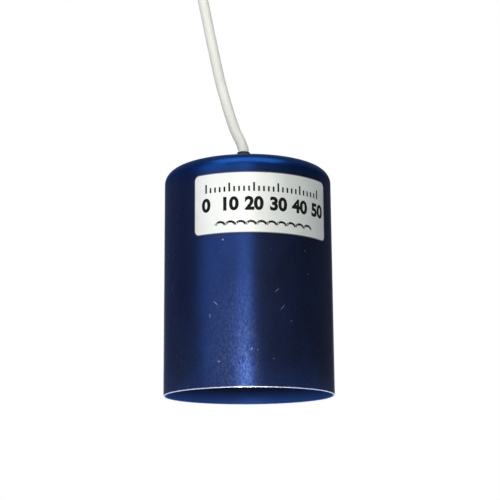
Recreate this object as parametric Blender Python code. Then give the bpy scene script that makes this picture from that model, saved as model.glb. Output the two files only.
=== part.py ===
"""Submersible well probe: a drawn aluminium bell that hangs on its signal cable.

The bell traps air at its mouth, and a pressure sensor in a sealed housing under the crown reads it.
Metres, +Z up. The origin is the centre of the bell's rim, and the bell stands on that rim.
"""
import math

import bmesh
import bpy
from mathutils import Matrix, Vector

# Fits
FIT = 0.0003
CABLE_FIT = 0.00025
LABEL_GAP = 0.00015

# Bell
BELL_RADIUS = 0.035
BELL_HEIGHT = 0.094
BELL_WALL = 0.0008
SHOULDER_RADIUS = 0.0052
LIP_ROUND = 0.00018

# Label on the bell
LABEL_ARC_LENGTH = 0.0602
LABEL_HEIGHT = 0.0249
LABEL_BELOW_SHOULDER = 0.0034
LABEL_TURN = math.radians(12.1)
LABEL_THICKNESS = 0.00025
LABEL_CORNER = 0.0023

# Cable and its gland in the crown, a little to one side of the bell's axis
CABLE_DIAMETER = 0.0045
GLAND_OFFSET_X = -0.0017
SEAL_LIP_WALL = 0.0004
SEAL_BODY_WALL = 0.0011
SEAL_STANDOUT = 0.0095
STEM_WALL = 0.00085
NUT_ACROSS_FLATS = 0.013
NUT_HEIGHT = 0.0039
NUT_LIP = 0.0008
NUT_CHAMFER_INSET = 0.00013
NUT_CHAMFER_SLOPE = math.tan(math.radians(30.0))
WASHER_THICKNESS = 0.0008
WASHER_BORDER = 0.0029
WASHER_EDGE = 0.00015
GASKET_THICKNESS = 0.001
FLANGE_THICKNESS = 0.003
FLANGE_BORDER = 0.0045
SPIGOT_PROUD = 0.0005

# Sensor housing under the crown
HOUSING_RADIUS = 0.014
HOUSING_WALL = 0.002
HOUSING_ROOF = 0.0025
BOARD_STEP = 0.0016
LEDGE_WIDTH = 0.006
LEDGE_THICKNESS = 0.0025
RIM_FLANGE_WIDTH = 0.0038
RIM_FLANGE_THICKNESS = 0.0045
LOCK_NUT_ROOM = 0.0006
LOCK_NUT_WALL = 0.0025
LOCK_NUT_HEIGHT = 0.0035

# Ballast ring that sinks the bell
BALLAST_CLEARANCE = 0.0015
BALLAST_HEIGHT = 0.022
BALLAST_EDGE = 0.0008

# Cable end inside the housing
CLAMP_WALL = 0.0013
CLAMP_HEIGHT = 0.004
CLAMP_EDGE = 0.0002
JACKET_PROUD = 0.001
CORE_DIAMETER = 0.0012
CORE_RUN = 0.004
CORE_SPREAD = 0.0002
CORE_ROWS = (0, 1, -1)

# Electronics
TERMINAL_LENGTH = 0.0085
TERMINAL_WIDTH = 0.006
TERMINAL_HEIGHT = 0.005
TERMINAL_EDGE = 0.0003
BOARD_THICKNESS = 0.0016
CHIP_LENGTH = 0.005
CHIP_WIDTH = 0.004
CHIP_HEIGHT = 0.0015
CHIP_EDGE = 0.0001
CHIP_FROM_BOARD_EDGE = 0.0052
SENSOR_RADIUS = 0.004
SENSOR_HEIGHT = 0.005
NOZZLE_RADIUS = 0.0015
NOZZLE_LENGTH = 0.0108

# Spacer, cover, seal and screws that close the housing
SPACER_WALL = 0.001
SPACER_HEIGHT = 0.0085
COVER_THICKNESS = 0.0025
COVER_SPIGOT_HEIGHT = 0.004
COVER_SPIGOT_WALL = 0.0026
O_RING_SECTION = 0.0012
O_RING_SIDE_ROOM = 0.0002
BOSS_RADIUS = 0.005
BOSS_HEIGHT = 0.0045
FILTER_RADIUS = 0.003
FILTER_THICKNESS = 0.0016
SCREW_COUNT = 3
SCREW_RADIUS = 0.001
SCREW_HEAD_RADIUS = 0.0018
SCREW_HEAD_HEIGHT = 0.0013
SCREW_HEAD_EDGE = 0.0002
SCREW_GRIP = 0.003
SCREW_SLOT_WIDTH = 0.0005
SCREW_SLOT_DEPTH = 0.0005

# Cable coil beside the bell
COIL_CENTRE = Vector((-0.142, 0.0, 0.0))
COIL_MEAN_RADIUS = 0.0259
COIL_TURNS_A_LAYER = 3.5
COIL_LAYERS = 8
COIL_CORNER = 0.0022
TIE_THICKNESS = 0.0006
TIE_WIDTH = 0.004
TIE_HEAD_DEPTH = 0.0024
TIE_HEAD_BORDER = 0.0005
TIE_HEAD_EDGE = 0.0004
TIE_HEAD_HEIGHT = 0.006
TIE_ANGLES = (math.radians(205.0), math.radians(325.0))

# Stripped end of the cable
TAIL_LENGTH = 0.0115
TAIL_CORE_LENGTH = 0.007
FERRULE_RADIUS = 0.0009
FERRULE_COLLAR_RADIUS = 0.0012
FERRULE_COLLAR_LENGTH = 0.002
FERRULE_LENGTH = 0.005

# Route of the cable from the gland to the top of its coil, past its first straight point
CABLE_ROUTE = (
    (-0.00195, 0.0, 0.1062),
    (-0.00330, 0.0, 0.1094),
    (-0.00570, 0.0, 0.1148),
    (-0.00890, 0.0, 0.1255),
    (-0.01175, 0.0, 0.1365),
    (-0.01400, 0.0, 0.1475),
    (-0.01620, 0.0, 0.1585),
    (-0.01850, 0.0003, 0.1705),
    (-0.02140, 0.0008, 0.1830),
    (-0.02760, 0.0015, 0.1958),
    (-0.03760, 0.0024, 0.2062),
    (-0.05050, 0.0036, 0.2130),
    (-0.06500, 0.0051, 0.2152),
    (-0.07950, 0.0069, 0.2130),
    (-0.09250, 0.0090, 0.2062),
    (-0.10300, 0.0115, 0.1958),
    (-0.11050, 0.0142, 0.1825),
    (-0.11560, 0.0170, 0.1672),
    (-0.11880, 0.0198, 0.1505),
    (-0.12080, 0.0224, 0.1335),
    (-0.12200, 0.0247, 0.1175),
    (-0.12300, 0.0269, 0.1025),
    (-0.12420, 0.0290, 0.0880),
    (-0.12630, 0.0308, 0.0755),
    (-0.12980, 0.0323, 0.0648),
    (-0.13470, 0.0333, 0.0562),
    (-0.14080, 0.0337, 0.0497),
)
COIL_LANDING = math.radians(100.0)
COIL_TOP_RUN = math.radians(40.0)
COIL_LANDING_RISE = 0.0055
TUBE_POINT_SPACING = 0.0105

# Radii that follow
cable_radius = CABLE_DIAMETER / 2
cable_bore = cable_radius + CABLE_FIT
seal_neck_radius = cable_bore + SEAL_LIP_WALL
seal_body_radius = cable_bore + SEAL_BODY_WALL
stem_bore = seal_body_radius + CABLE_FIT
stem_radius = stem_bore + STEM_WALL
crown_hole_radius = stem_radius + FIT
flange_radius = stem_radius + FLANGE_BORDER
housing_bore = HOUSING_RADIUS - HOUSING_WALL
upper_bore = housing_bore - BOARD_STEP
lock_nut_across_flats = (upper_bore - LOCK_NUT_ROOM) * math.sqrt(3)
spigot_radius = lock_nut_across_flats / 2 - LOCK_NUT_WALL
board_radius = housing_bore - FIT
spacer_bore = board_radius - SPACER_WALL
rim_flange_radius = HOUSING_RADIUS + RIM_FLANGE_WIDTH
screw_circle = rim_flange_radius - SCREW_HEAD_RADIUS - FIT
cover_spigot_radius = housing_bore - FIT
o_ring_radius = housing_bore - CABLE_FIT - O_RING_SECTION / 2
o_ring_groove_radius = o_ring_radius - O_RING_SECTION / 2 - FIT

# Heights that follow, from the crown down
crown_under = BELL_HEIGHT - BELL_WALL
washer_low = BELL_HEIGHT + FIT
nut_low = washer_low + WASHER_THICKNESS + FIT
nut_top = nut_low + NUT_HEIGHT
stem_top = nut_top - NUT_LIP - FIT
neck_top = BELL_HEIGHT + SEAL_STANDOUT
gasket_low = crown_under - FIT - GASKET_THICKNESS
flange_top = gasket_low - FIT
flange_low = flange_top - FLANGE_THICKNESS
housing_top = flange_low - FIT
roof_low = housing_top - HOUSING_ROOF
lock_nut_low = roof_low - FIT - LOCK_NUT_HEIGHT
spigot_low = lock_nut_low - SPIGOT_PROUD
clamp_low = spigot_low - FIT - CLAMP_HEIGHT
jacket_end = clamp_low - JACKET_PROUD
terminal_top = jacket_end - FIT - CORE_RUN - FIT
board_top = terminal_top - TERMINAL_HEIGHT - FIT
board_low = board_top - BOARD_THICKNESS
spacer_low = board_low - FIT - SPACER_HEIGHT
cover_spigot_top = spacer_low - FIT
cover_face = cover_spigot_top - COVER_SPIGOT_HEIGHT
housing_low = cover_face + FIT
cover_low = cover_face - COVER_THICKNESS
boss_low = cover_low - BOSS_HEIGHT
ballast_top = crown_under - FIT
ballast_low = ballast_top - BALLAST_HEIGHT
ledge_top = ballast_low - FIT
ledge_low = ledge_top - LEDGE_THICKNESS

# Coil sizes that follow
coil_width = (COIL_TURNS_A_LAYER + 1) * CABLE_DIAMETER
coil_height = COIL_LAYERS * CABLE_DIAMETER
coil_low = TIE_THICKNESS + FIT
coil_top = coil_low + coil_height
coil_outer_turn = COIL_MEAN_RADIUS + (coil_width - CABLE_DIAMETER) / 2


def clear_scene():
    for obj in list(bpy.data.objects):
        bpy.data.objects.remove(obj, do_unlink=True)


def material(name, colour, roughness, metallic=0.0):
    mat = bpy.data.materials.get(name) or bpy.data.materials.new(name)
    mat.use_nodes = True
    shader = mat.node_tree.nodes["Principled BSDF"]
    shader.inputs["Base Color"].default_value = (*colour, 1.0)
    shader.inputs["Roughness"].default_value = roughness
    shader.inputs["Metallic"].default_value = metallic
    mat.diffuse_color = (*colour, 1.0)
    return mat


def anodised_blue():
    return material("blue anodised aluminium", (0.012, 0.024, 0.13), 0.38, 1.0)


def label_foil():
    return material("silver label foil", (0.72, 0.74, 0.70), 0.4, 0.6)


def black_rubber():
    return material("black rubber", (0.02, 0.02, 0.024), 0.75)


def ivory_jacket():
    return material("ivory cable jacket", (0.86, 0.86, 0.78), 0.5)


def plated_brass():
    return material("nickel plated brass", (0.62, 0.6, 0.55), 0.3, 1.0)


def galvanised_steel():
    return material("galvanised steel", (0.5, 0.51, 0.52), 0.45, 1.0)


def stainless_steel():
    return material("stainless steel", (0.6, 0.6, 0.6), 0.28, 1.0)


def black_plastic():
    return material("black glass filled plastic", (0.03, 0.03, 0.033), 0.5)


def board_green():
    return material("green circuit board", (0.02, 0.16, 0.06), 0.45)


def sintered_bronze():
    return material("sintered bronze", (0.45, 0.3, 0.14), 0.7, 0.8)


def wire_colour(index):
    names = ("brown", "white", "green")
    colours = ((0.16, 0.06, 0.03), (0.8, 0.8, 0.78), (0.03, 0.3, 0.08))
    return material(names[index] + " core", colours[index], 0.45)


def new_object(name, mesh, mat, smooth_angle=35.0):
    if smooth_angle:
        mesh.shade_smooth()
        mesh.set_sharp_from_angle(angle=math.radians(smooth_angle))
    obj = bpy.data.objects.new(name, mesh)
    obj.data.materials.append(mat)
    bpy.context.scene.collection.objects.link(obj)
    return obj


def arc(centre, radius, start, end, steps):
    """Points of an arc in the (r, z) plane, angles in degrees from +r towards +z."""
    points = []
    for i in range(steps + 1):
        a = math.radians(start + (end - start) * i / steps)
        points.append((centre[0] + radius * math.cos(a), centre[1] + radius * math.sin(a)))
    return points


def turned(name, profile, mat, segments=32, closed=True, smooth_angle=35.0):
    """Solid of revolution about Z from (r, z) points; an open profile starts and ends on the axis."""
    bm = bmesh.new()
    verts = [bm.verts.new((r, 0.0, z)) for r, z in profile]
    pairs = list(zip(verts, verts[1:]))
    if closed:
        pairs.append((verts[-1], verts[0]))
    edges = [bm.edges.new(pair) for pair in pairs]
    bmesh.ops.spin(
        bm, geom=verts + edges, cent=(0, 0, 0), axis=(0, 0, 1), angle=2 * math.pi, steps=segments,
        use_duplicate=False, use_merge=True,
    )
    bmesh.ops.remove_doubles(bm, verts=bm.verts, dist=1e-7)
    bmesh.ops.recalc_face_normals(bm, faces=bm.faces)
    mesh = bpy.data.meshes.new(name)
    bm.to_mesh(mesh)
    bm.free()
    return new_object(name, mesh, mat, smooth_angle)


def sleeve(name, inner, outer, low, top, mat, segments=32, edge=0.0):
    """Plain round ring with its two outer edges bevelled by edge."""
    profile = [(inner, low), (outer - edge, low), (outer, low + edge), (outer, top - edge),
               (outer - edge, top), (inner, top)]
    if not edge:
        profile = [(inner, low), (outer, low), (outer, top), (inner, top)]
    return turned(name, profile, mat, segments)


def box(name, size, centre, mat, edge=0.0):
    bm = bmesh.new()
    bmesh.ops.create_cube(bm, size=1.0, matrix=Matrix.Diagonal((*size, 1.0)))
    if edge:
        bmesh.ops.bevel(bm, geom=bm.edges, offset=edge, segments=1, affect="EDGES")
    bmesh.ops.translate(bm, verts=bm.verts, vec=centre)
    mesh = bpy.data.meshes.new(name)
    bm.to_mesh(mesh)
    bm.free()
    return new_object(name, mesh, mat, smooth_angle=0.0)


def hex_prism(name, across_flats, low, top, mat):
    bm = bmesh.new()
    corner = across_flats / math.sqrt(3)
    bmesh.ops.create_cone(
        bm, cap_ends=True, segments=6, radius1=corner, radius2=corner, depth=top - low,
        matrix=Matrix.Translation((0, 0, (low + top) / 2)),
    )
    mesh = bpy.data.meshes.new(name)
    bm.to_mesh(mesh)
    bm.free()
    return new_object(name, mesh, mat, smooth_angle=0.0)


def boolean(target, tool, operation):
    """Apply one exact Boolean, with the tool kept as a hidden wire guide."""
    tool.hide_render = True
    tool.display_type = "WIRE"
    mod = target.modifiers.new(operation.lower() + " " + tool.name, "BOOLEAN")
    mod.operation = operation
    mod.solver = "EXACT"
    mod.object = tool


def hang_on(parent, *objects):
    for obj in objects:
        obj.parent = parent
    return objects


def smooth_path(points, spacing):
    """Points at an even spacing along a Catmull-Rom curve through the given points."""
    ends = [points[0] * 2 - points[1], *points, points[-1] * 2 - points[-2]]
    fine = []
    steps = 24
    for i in range(1, len(ends) - 2):
        a, b, c, d = ends[i - 1:i + 3]
        for k in range(steps):
            t = k / steps
            fine.append(0.5 * (2 * b + (c - a) * t + (2 * a - 5 * b + 4 * c - d) * t ** 2
                               + (3 * b - a - 3 * c + d) * t ** 3))
    fine.append(points[-1])
    total = sum((q - p).length for p, q in zip(fine, fine[1:]))
    count = max(1, round(total / spacing))
    picked = [fine[0]]
    travelled, wanted = 0.0, total / count
    for p, q in zip(fine, fine[1:]):
        step = (q - p).length
        while travelled + step >= wanted and len(picked) < count:
            picked.append(p.lerp(q, (wanted - travelled) / step))
            wanted += total / count
        travelled += step
    return [*picked, fine[-1]]


def tube(name, points, diameter, mat, resolution=4):
    """Round tube with filled ends along a chain of straight steps."""
    curve = bpy.data.curves.new(name, "CURVE")
    curve.dimensions = "3D"
    curve.bevel_depth = diameter / 2
    curve.bevel_resolution = resolution
    curve.use_fill_caps = True
    spline = curve.splines.new("POLY")
    spline.points.add(len(points) - 1)
    for place, point in zip(spline.points, points):
        place.co = (*point, 1.0)
    obj = bpy.data.objects.new(name, curve)
    obj.data.materials.append(mat)
    bpy.context.scene.collection.objects.link(obj)
    return obj


# Bell

def bell_profile():
    """Outline of the wall: crown, shoulder and side down to the lip, then back up the inside."""
    shoulder = (BELL_RADIUS - SHOULDER_RADIUS, BELL_HEIGHT - SHOULDER_RADIUS)
    lip_out = (BELL_RADIUS - LIP_ROUND, LIP_ROUND)
    lip_in = (BELL_RADIUS - BELL_WALL + LIP_ROUND, LIP_ROUND)
    outside = arc(shoulder, SHOULDER_RADIUS, 90, 0, 8) + arc(lip_out, LIP_ROUND, 0, -90, 2)
    inside = arc(lip_in, LIP_ROUND, 270, 180, 2) + arc(shoulder, SHOULDER_RADIUS - BELL_WALL, 0, 90, 8)
    return [(0, BELL_HEIGHT), *outside, *inside, (0, crown_under)]


def make_bell():
    bell = turned("bell_housing", bell_profile(), anodised_blue(), segments=72, closed=False)
    cutter = turned(
        "gland hole guide",
        [(0, crown_under - BELL_WALL), (crown_hole_radius, crown_under - BELL_WALL),
         (crown_hole_radius, BELL_HEIGHT + BELL_WALL), (0, BELL_HEIGHT + BELL_WALL)],
        anodised_blue(), closed=False)
    cutter.location.x = GLAND_OFFSET_X
    boolean(bell, cutter, "DIFFERENCE")
    return bell


def make_label():
    """Foil plate with rounded corners, bent round the bell under its shoulder."""
    top = BELL_HEIGHT - SHOULDER_RADIUS - LABEL_BELOW_SHOULDER
    middle = top - LABEL_HEIGHT / 2
    half_width, half_height = LABEL_ARC_LENGTH / 2, LABEL_HEIGHT / 2
    corner_x, corner_z = half_width - LABEL_CORNER, half_height - LABEL_CORNER
    quarter = [(corner_x + x, corner_z + z) for x, z in arc((0, 0), LABEL_CORNER, 0, 90, 5)]
    columns = [-x for x, z in quarter] + [corner_x * (i / 12 - 1) for i in range(1, 24)]
    columns += [x for x, z in reversed(quarter)]
    heights = dict((round(x, 9), z) for x, z in quarter)

    def place(x, z, lift):
        radius = BELL_RADIUS + LABEL_GAP + lift
        angle = -math.pi / 2 + LABEL_TURN + x / BELL_RADIUS
        return (radius * math.cos(angle), radius * math.sin(angle), middle + z)

    bm = bmesh.new()
    rows = []
    for x in columns:
        z = heights.get(round(abs(x), 9), half_height)
        rows.append([bm.verts.new(place(x, side * z, lift))
                     for lift, side in ((0, -1), (0, 1), (LABEL_THICKNESS, 1), (LABEL_THICKNESS, -1))])
    for a, b in zip(rows, rows[1:]):
        for k in range(4):
            bm.faces.new((a[k], a[(k + 1) % 4], b[(k + 1) % 4], b[k]))
    bm.faces.new(rows[0])
    bm.faces.new(reversed(rows[-1]))
    bmesh.ops.recalc_face_normals(bm, faces=bm.faces)
    mesh = bpy.data.meshes.new("label_plate")
    bm.to_mesh(mesh)
    bm.free()
    return new_object("label_plate", mesh, label_foil())


# Gland in the crown

def make_gland():
    washer = sleeve("crown_washer", crown_hole_radius, crown_hole_radius + WASHER_BORDER, washer_low,
                    washer_low + WASHER_THICKNESS, black_rubber(), edge=WASHER_EDGE)
    gasket = sleeve("inner_gasket", crown_hole_radius, flange_radius, gasket_low,
                    gasket_low + GASKET_THICKNESS, black_rubber())
    body = turned("gland_body", [
        (cable_bore, spigot_low), (spigot_radius, spigot_low), (spigot_radius, flange_low),
        (flange_radius, flange_low), (flange_radius, flange_top), (stem_radius, flange_top),
        (stem_radius, stem_top), (stem_bore, stem_top), (stem_bore, flange_top), (cable_bore, flange_top),
    ], plated_brass())
    seal = turned("cable_seal", [
        (cable_bore, flange_top + FIT), (seal_body_radius, flange_top + FIT), (seal_body_radius, stem_top),
        (seal_neck_radius, stem_top), (seal_neck_radius, neck_top - LIP_ROUND),
        (seal_neck_radius - LIP_ROUND, neck_top), (cable_bore, neck_top),
    ], black_rubber())
    return washer, gasket, body, seal, make_gland_nut()


def make_gland_nut():
    """Hexagon cap nut: its lip holds the seal down, and its corners are turned off at the top."""
    nut = hex_prism("gland_nut", NUT_ACROSS_FLATS, nut_low, nut_top, plated_brass())
    bore = stem_radius + FIT
    lip_bore = seal_neck_radius + FIT
    margin = NUT_LIP
    hollow = turned("nut bore guide", [
        (0, nut_low - margin), (bore, nut_low - margin), (bore, nut_top - NUT_LIP),
        (lip_bore, nut_top - NUT_LIP), (lip_bore, nut_top + margin), (0, nut_top + margin),
    ], plated_brass(), closed=False)
    corner = NUT_ACROSS_FLATS / math.sqrt(3)
    face = NUT_ACROSS_FLATS / 2 - NUT_CHAMFER_INSET
    drop = (corner - face + margin) * NUT_CHAMFER_SLOPE
    rise = margin * NUT_CHAMFER_SLOPE
    crown = turned("nut chamfer guide", [
        (0, nut_low - margin), (corner + margin, nut_low - margin),
        (corner + margin, nut_top - drop), (face - margin, nut_top + rise), (0, nut_top + rise),
    ], plated_brass(), closed=False)
    boolean(nut, crown, "INTERSECT")
    boolean(nut, hollow, "DIFFERENCE")
    hang_on(nut, crown, hollow)
    return nut


# Sensor housing and what it carries

def make_housing():
    ledge_radius = HOUSING_RADIUS + LEDGE_WIDTH
    step = board_top + FIT
    rim_top = housing_low + RIM_FLANGE_THICKNESS
    housing = turned("sensor_housing", [
        (spigot_radius + FIT, roof_low), (spigot_radius + FIT, housing_top), (HOUSING_RADIUS, housing_top),
        (HOUSING_RADIUS, ledge_top), (ledge_radius, ledge_top), (ledge_radius, ledge_low),
        (HOUSING_RADIUS, ledge_low), (HOUSING_RADIUS, rim_top), (rim_flange_radius, rim_top),
        (rim_flange_radius, housing_low), (housing_bore, housing_low), (housing_bore, step),
        (upper_bore, step), (upper_bore, roof_low),
    ], black_plastic(), segments=48)
    for i in range(SCREW_COUNT):
        drill = screw_hole_guide("housing screw hole guide", i, housing_low + SCREW_GRIP + FIT)
        boolean(housing, drill, "DIFFERENCE")
        hang_on(housing, drill)
    return housing


def screw_place(index):
    angle = 2 * math.pi * index / SCREW_COUNT + math.pi / 6
    return Vector((screw_circle * math.cos(angle), screw_circle * math.sin(angle), 0.0))


def screw_hole_guide(name, index, top):
    low = cover_low - FIT
    radius = SCREW_RADIUS + FIT
    guide = turned(f"{name} {index + 1}", [(0, low), (radius, low), (radius, top), (0, top)],
                   black_plastic(), segments=16, closed=False)
    guide.location = screw_place(index)
    return guide


def make_ballast():
    inner = HOUSING_RADIUS + FIT
    outer = BELL_RADIUS - BELL_WALL - abs(GLAND_OFFSET_X) - BALLAST_CLEARANCE
    chamfer = SHOULDER_RADIUS - BELL_WALL - BALLAST_CLEARANCE
    return turned("ballast_ring", [
        (inner, ballast_low), (outer - BALLAST_EDGE, ballast_low), (outer, ballast_low + BALLAST_EDGE),
        (outer, ballast_top - chamfer), (outer - chamfer, ballast_top), (inner, ballast_top),
    ], galvanised_steel(), segments=48)


def make_lock_nut():
    nut = hex_prism("lock_nut", lock_nut_across_flats, lock_nut_low, roof_low - FIT, plated_brass())
    radius = spigot_radius + FIT
    bore = turned("lock nut bore guide", [
        (0, lock_nut_low - FIT), (radius, lock_nut_low - FIT), (radius, roof_low), (0, roof_low),
    ], plated_brass(), closed=False)
    boolean(nut, bore, "DIFFERENCE")
    hang_on(nut, bore)
    return nut


def make_cable_end():
    """The stretch of cable inside the gland, its clamp and the cores that reach the terminals."""
    inner = turned("cable_inner", [
        (0, jacket_end), (cable_radius, jacket_end), (cable_radius, neck_top), (0, neck_top),
    ], ivory_jacket(), segments=24, closed=False)
    clamp = sleeve("cable_clamp", cable_bore, cable_bore + CLAMP_WALL, clamp_low, clamp_low + CLAMP_HEIGHT,
                   stainless_steel(), edge=CLAMP_EDGE)
    pieces = [inner, clamp]
    ring = CORE_DIAMETER / math.sqrt(3) + CORE_SPREAD
    start = jacket_end - FIT
    for i, row in enumerate(CORE_ROWS):
        angle = 2 * math.pi * i / len(CORE_ROWS)
        at_jacket = Vector((ring * math.cos(angle), ring * math.sin(angle), start))
        at_terminal = Vector((0.0, row * TERMINAL_LENGTH / len(CORE_ROWS), start - CORE_RUN))
        lift = Vector((0, 0, CORE_RUN / 3))
        points = smooth_path([at_jacket, at_jacket - lift, at_terminal + lift, at_terminal], CORE_RUN / 6)
        pieces.append(tube(f"core_wire_{i + 1}", points, CORE_DIAMETER, wire_colour(i), 2))
    return pieces


def make_electronics():
    terminal = box("terminal_block", (TERMINAL_WIDTH, TERMINAL_LENGTH, TERMINAL_HEIGHT),
                   (0, 0, board_top + FIT + TERMINAL_HEIGHT / 2), board_green(), TERMINAL_EDGE)
    chip = box("amplifier_chip", (CHIP_WIDTH, CHIP_LENGTH, CHIP_HEIGHT),
               (board_radius - CHIP_FROM_BOARD_EDGE, 0, board_top + FIT + CHIP_HEIGHT / 2), black_plastic(), CHIP_EDGE)
    board = turned("circuit_board", [(0, board_low), (board_radius, board_low), (board_radius, board_top),
                                     (0, board_top)], board_green(), closed=False)
    top = board_low - FIT
    sensor = turned("pressure_sensor", [
        (0, top - NOZZLE_LENGTH), (NOZZLE_RADIUS, top - NOZZLE_LENGTH), (NOZZLE_RADIUS, top - SENSOR_HEIGHT),
        (SENSOR_RADIUS, top - SENSOR_HEIGHT), (SENSOR_RADIUS, top), (0, top),
    ], stainless_steel(), segments=24, closed=False)
    return terminal, chip, board, sensor


def make_cover():
    groove_half = O_RING_SECTION / 2 + O_RING_SIDE_ROOM
    groove = (cover_face + cover_spigot_top) / 2
    spigot_bore = cover_spigot_radius - COVER_SPIGOT_WALL
    port = NOZZLE_RADIUS + FIT
    filter_bore = FILTER_RADIUS + FIT
    filter_seat = boss_low + FILTER_THICKNESS + 2 * FIT
    cover = turned("sensor_cover", [
        (port, filter_seat), (filter_bore, filter_seat), (filter_bore, boss_low), (BOSS_RADIUS, boss_low),
        (BOSS_RADIUS, cover_low), (rim_flange_radius, cover_low), (rim_flange_radius, cover_face),
        (cover_spigot_radius, cover_face), (cover_spigot_radius, groove - groove_half),
        (o_ring_groove_radius, groove - groove_half), (o_ring_groove_radius, groove + groove_half),
        (cover_spigot_radius, groove + groove_half), (cover_spigot_radius, cover_spigot_top),
        (spigot_bore, cover_spigot_top), (spigot_bore, cover_face), (port, cover_face),
    ], black_plastic(), segments=48)
    for i in range(SCREW_COUNT):
        drill = screw_hole_guide("cover screw hole guide", i, cover_face + FIT)
        boolean(cover, drill, "DIFFERENCE")
        hang_on(cover, drill)
    spacer = sleeve("board_spacer", spacer_bore, board_radius, spacer_low, spacer_low + SPACER_HEIGHT,
                    black_plastic())
    o_ring = turned("cover_o_ring", arc((o_ring_radius, groove), O_RING_SECTION / 2, 0, 315, 7),
                    black_rubber(), smooth_angle=60.0)
    filter_disc = turned("port_filter", [
        (0, boss_low + FIT), (FILTER_RADIUS, boss_low + FIT), (FILTER_RADIUS, filter_seat - FIT),
        (0, filter_seat - FIT),
    ], sintered_bronze(), segments=24, closed=False)
    return [cover, spacer, o_ring, filter_disc] + [make_cover_screw(i) for i in range(SCREW_COUNT)]


def make_cover_screw(index):
    """Slotted cheese head screw from below, through the cover into the housing's rim."""
    under_head = cover_low - FIT
    low = under_head - SCREW_HEAD_HEIGHT
    tip = housing_low + SCREW_GRIP
    name = f"cover_screw_{index + 1}"
    screw = turned(name, [
        (0, low), (SCREW_HEAD_RADIUS - SCREW_HEAD_EDGE, low), (SCREW_HEAD_RADIUS, low + SCREW_HEAD_EDGE),
        (SCREW_HEAD_RADIUS, under_head), (SCREW_RADIUS, under_head), (SCREW_RADIUS, tip - SCREW_RADIUS / 2),
        (SCREW_RADIUS / 2, tip), (0, tip),
    ], stainless_steel(), segments=16, closed=False)
    slot_length = SCREW_HEAD_RADIUS * 3
    slot = box(f"{name} slot guide", (SCREW_SLOT_WIDTH, slot_length, SCREW_SLOT_DEPTH * 2), (0, 0, low),
               stainless_steel())
    boolean(screw, slot, "DIFFERENCE")
    hang_on(screw, slot)
    screw.location = screw_place(index)
    return screw


# Cable outside the bell

def coil_point(angle, radius, height):
    return COIL_CENTRE + Vector((radius * math.cos(angle), radius * math.sin(angle), height))


def make_cord():
    """The cable from the gland, up and over, and down on to its coil."""
    start = neck_top + FIT
    exit_point = Vector((GLAND_OFFSET_X, 0.0, start))
    straight = exit_point + Vector((0, 0, FIT * 4))
    route = [exit_point, straight] + [Vector(p) for p in CABLE_ROUTE]
    on_coil = coil_top + FIT + cable_radius
    lands = 4
    for i in range(lands + 1):
        angle = COIL_LANDING + COIL_TOP_RUN * i / lands
        settle = COIL_LANDING_RISE * (1 - i / lands) ** 2
        route.append(coil_point(angle, coil_outer_turn, on_coil + settle))
    points = [exit_point, straight] + smooth_path(route[1:], TUBE_POINT_SPACING)[1:]
    return tube("cable_run", points, CABLE_DIAMETER, ivory_jacket())


def make_coil():
    """One closed ring with the outer shape of all the turns."""
    inner = COIL_MEAN_RADIUS - coil_width / 2
    outer = COIL_MEAN_RADIUS + coil_width / 2
    low, top, c = coil_low, coil_top, COIL_CORNER
    profile = arc((inner + c, low + c), c, 180, 270, 2) + arc((outer - c, low + c), c, 270, 360, 2)
    profile += arc((outer - c, top - c), c, 0, 90, 2) + arc((inner + c, top - c), c, 90, 180, 2)
    coil = turned("cable_coil", profile, ivory_jacket(), segments=48, smooth_angle=50.0)
    coil.location = COIL_CENTRE
    return coil


def make_tie(index, angle):
    """Plastic strap round the bundle of turns, with its locking head on the outer side."""
    name = f"coil_tie_{index + 1}"
    half_width = coil_width / 2 + FIT
    low, top = coil_low - FIT, coil_top + FIT
    bm = bmesh.new()
    loops = []
    for y in (-TIE_WIDTH / 2, TIE_WIDTH / 2):
        for grow in (0.0, TIE_THICKNESS):
            x, b, t = half_width + grow, low - grow, top + grow
            loops.append([bm.verts.new(p) for p in ((-x, y, b), (x, y, b), (x, y, t), (-x, y, t))])
    inner_a, outer_a, inner_b, outer_b = loops
    for i in range(4):
        j = (i + 1) % 4
        bm.faces.new((inner_a[i], inner_a[j], outer_a[j], outer_a[i]))
        bm.faces.new((inner_b[i], inner_b[j], outer_b[j], outer_b[i]))
        bm.faces.new((outer_a[i], outer_a[j], outer_b[j], outer_b[i]))
        bm.faces.new((inner_a[i], inner_a[j], inner_b[j], inner_b[i]))
    bmesh.ops.recalc_face_normals(bm, faces=bm.faces)
    mesh = bpy.data.meshes.new(name)
    bm.to_mesh(mesh)
    bm.free()
    tie = new_object(name, mesh, black_plastic(), smooth_angle=0.0)
    head = box(f"{name} head guide", (TIE_HEAD_DEPTH, TIE_WIDTH + 2 * TIE_HEAD_BORDER, TIE_HEAD_HEIGHT),
               (half_width + TIE_THICKNESS / 2 + TIE_HEAD_DEPTH / 2, 0, (low + top) / 2),
               black_plastic(), TIE_HEAD_EDGE)
    boolean(tie, head, "UNION")
    hang_on(tie, head)
    tie.location = coil_point(angle, COIL_MEAN_RADIUS, 0.0)
    tie.rotation_euler.z = angle
    return tie


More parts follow.
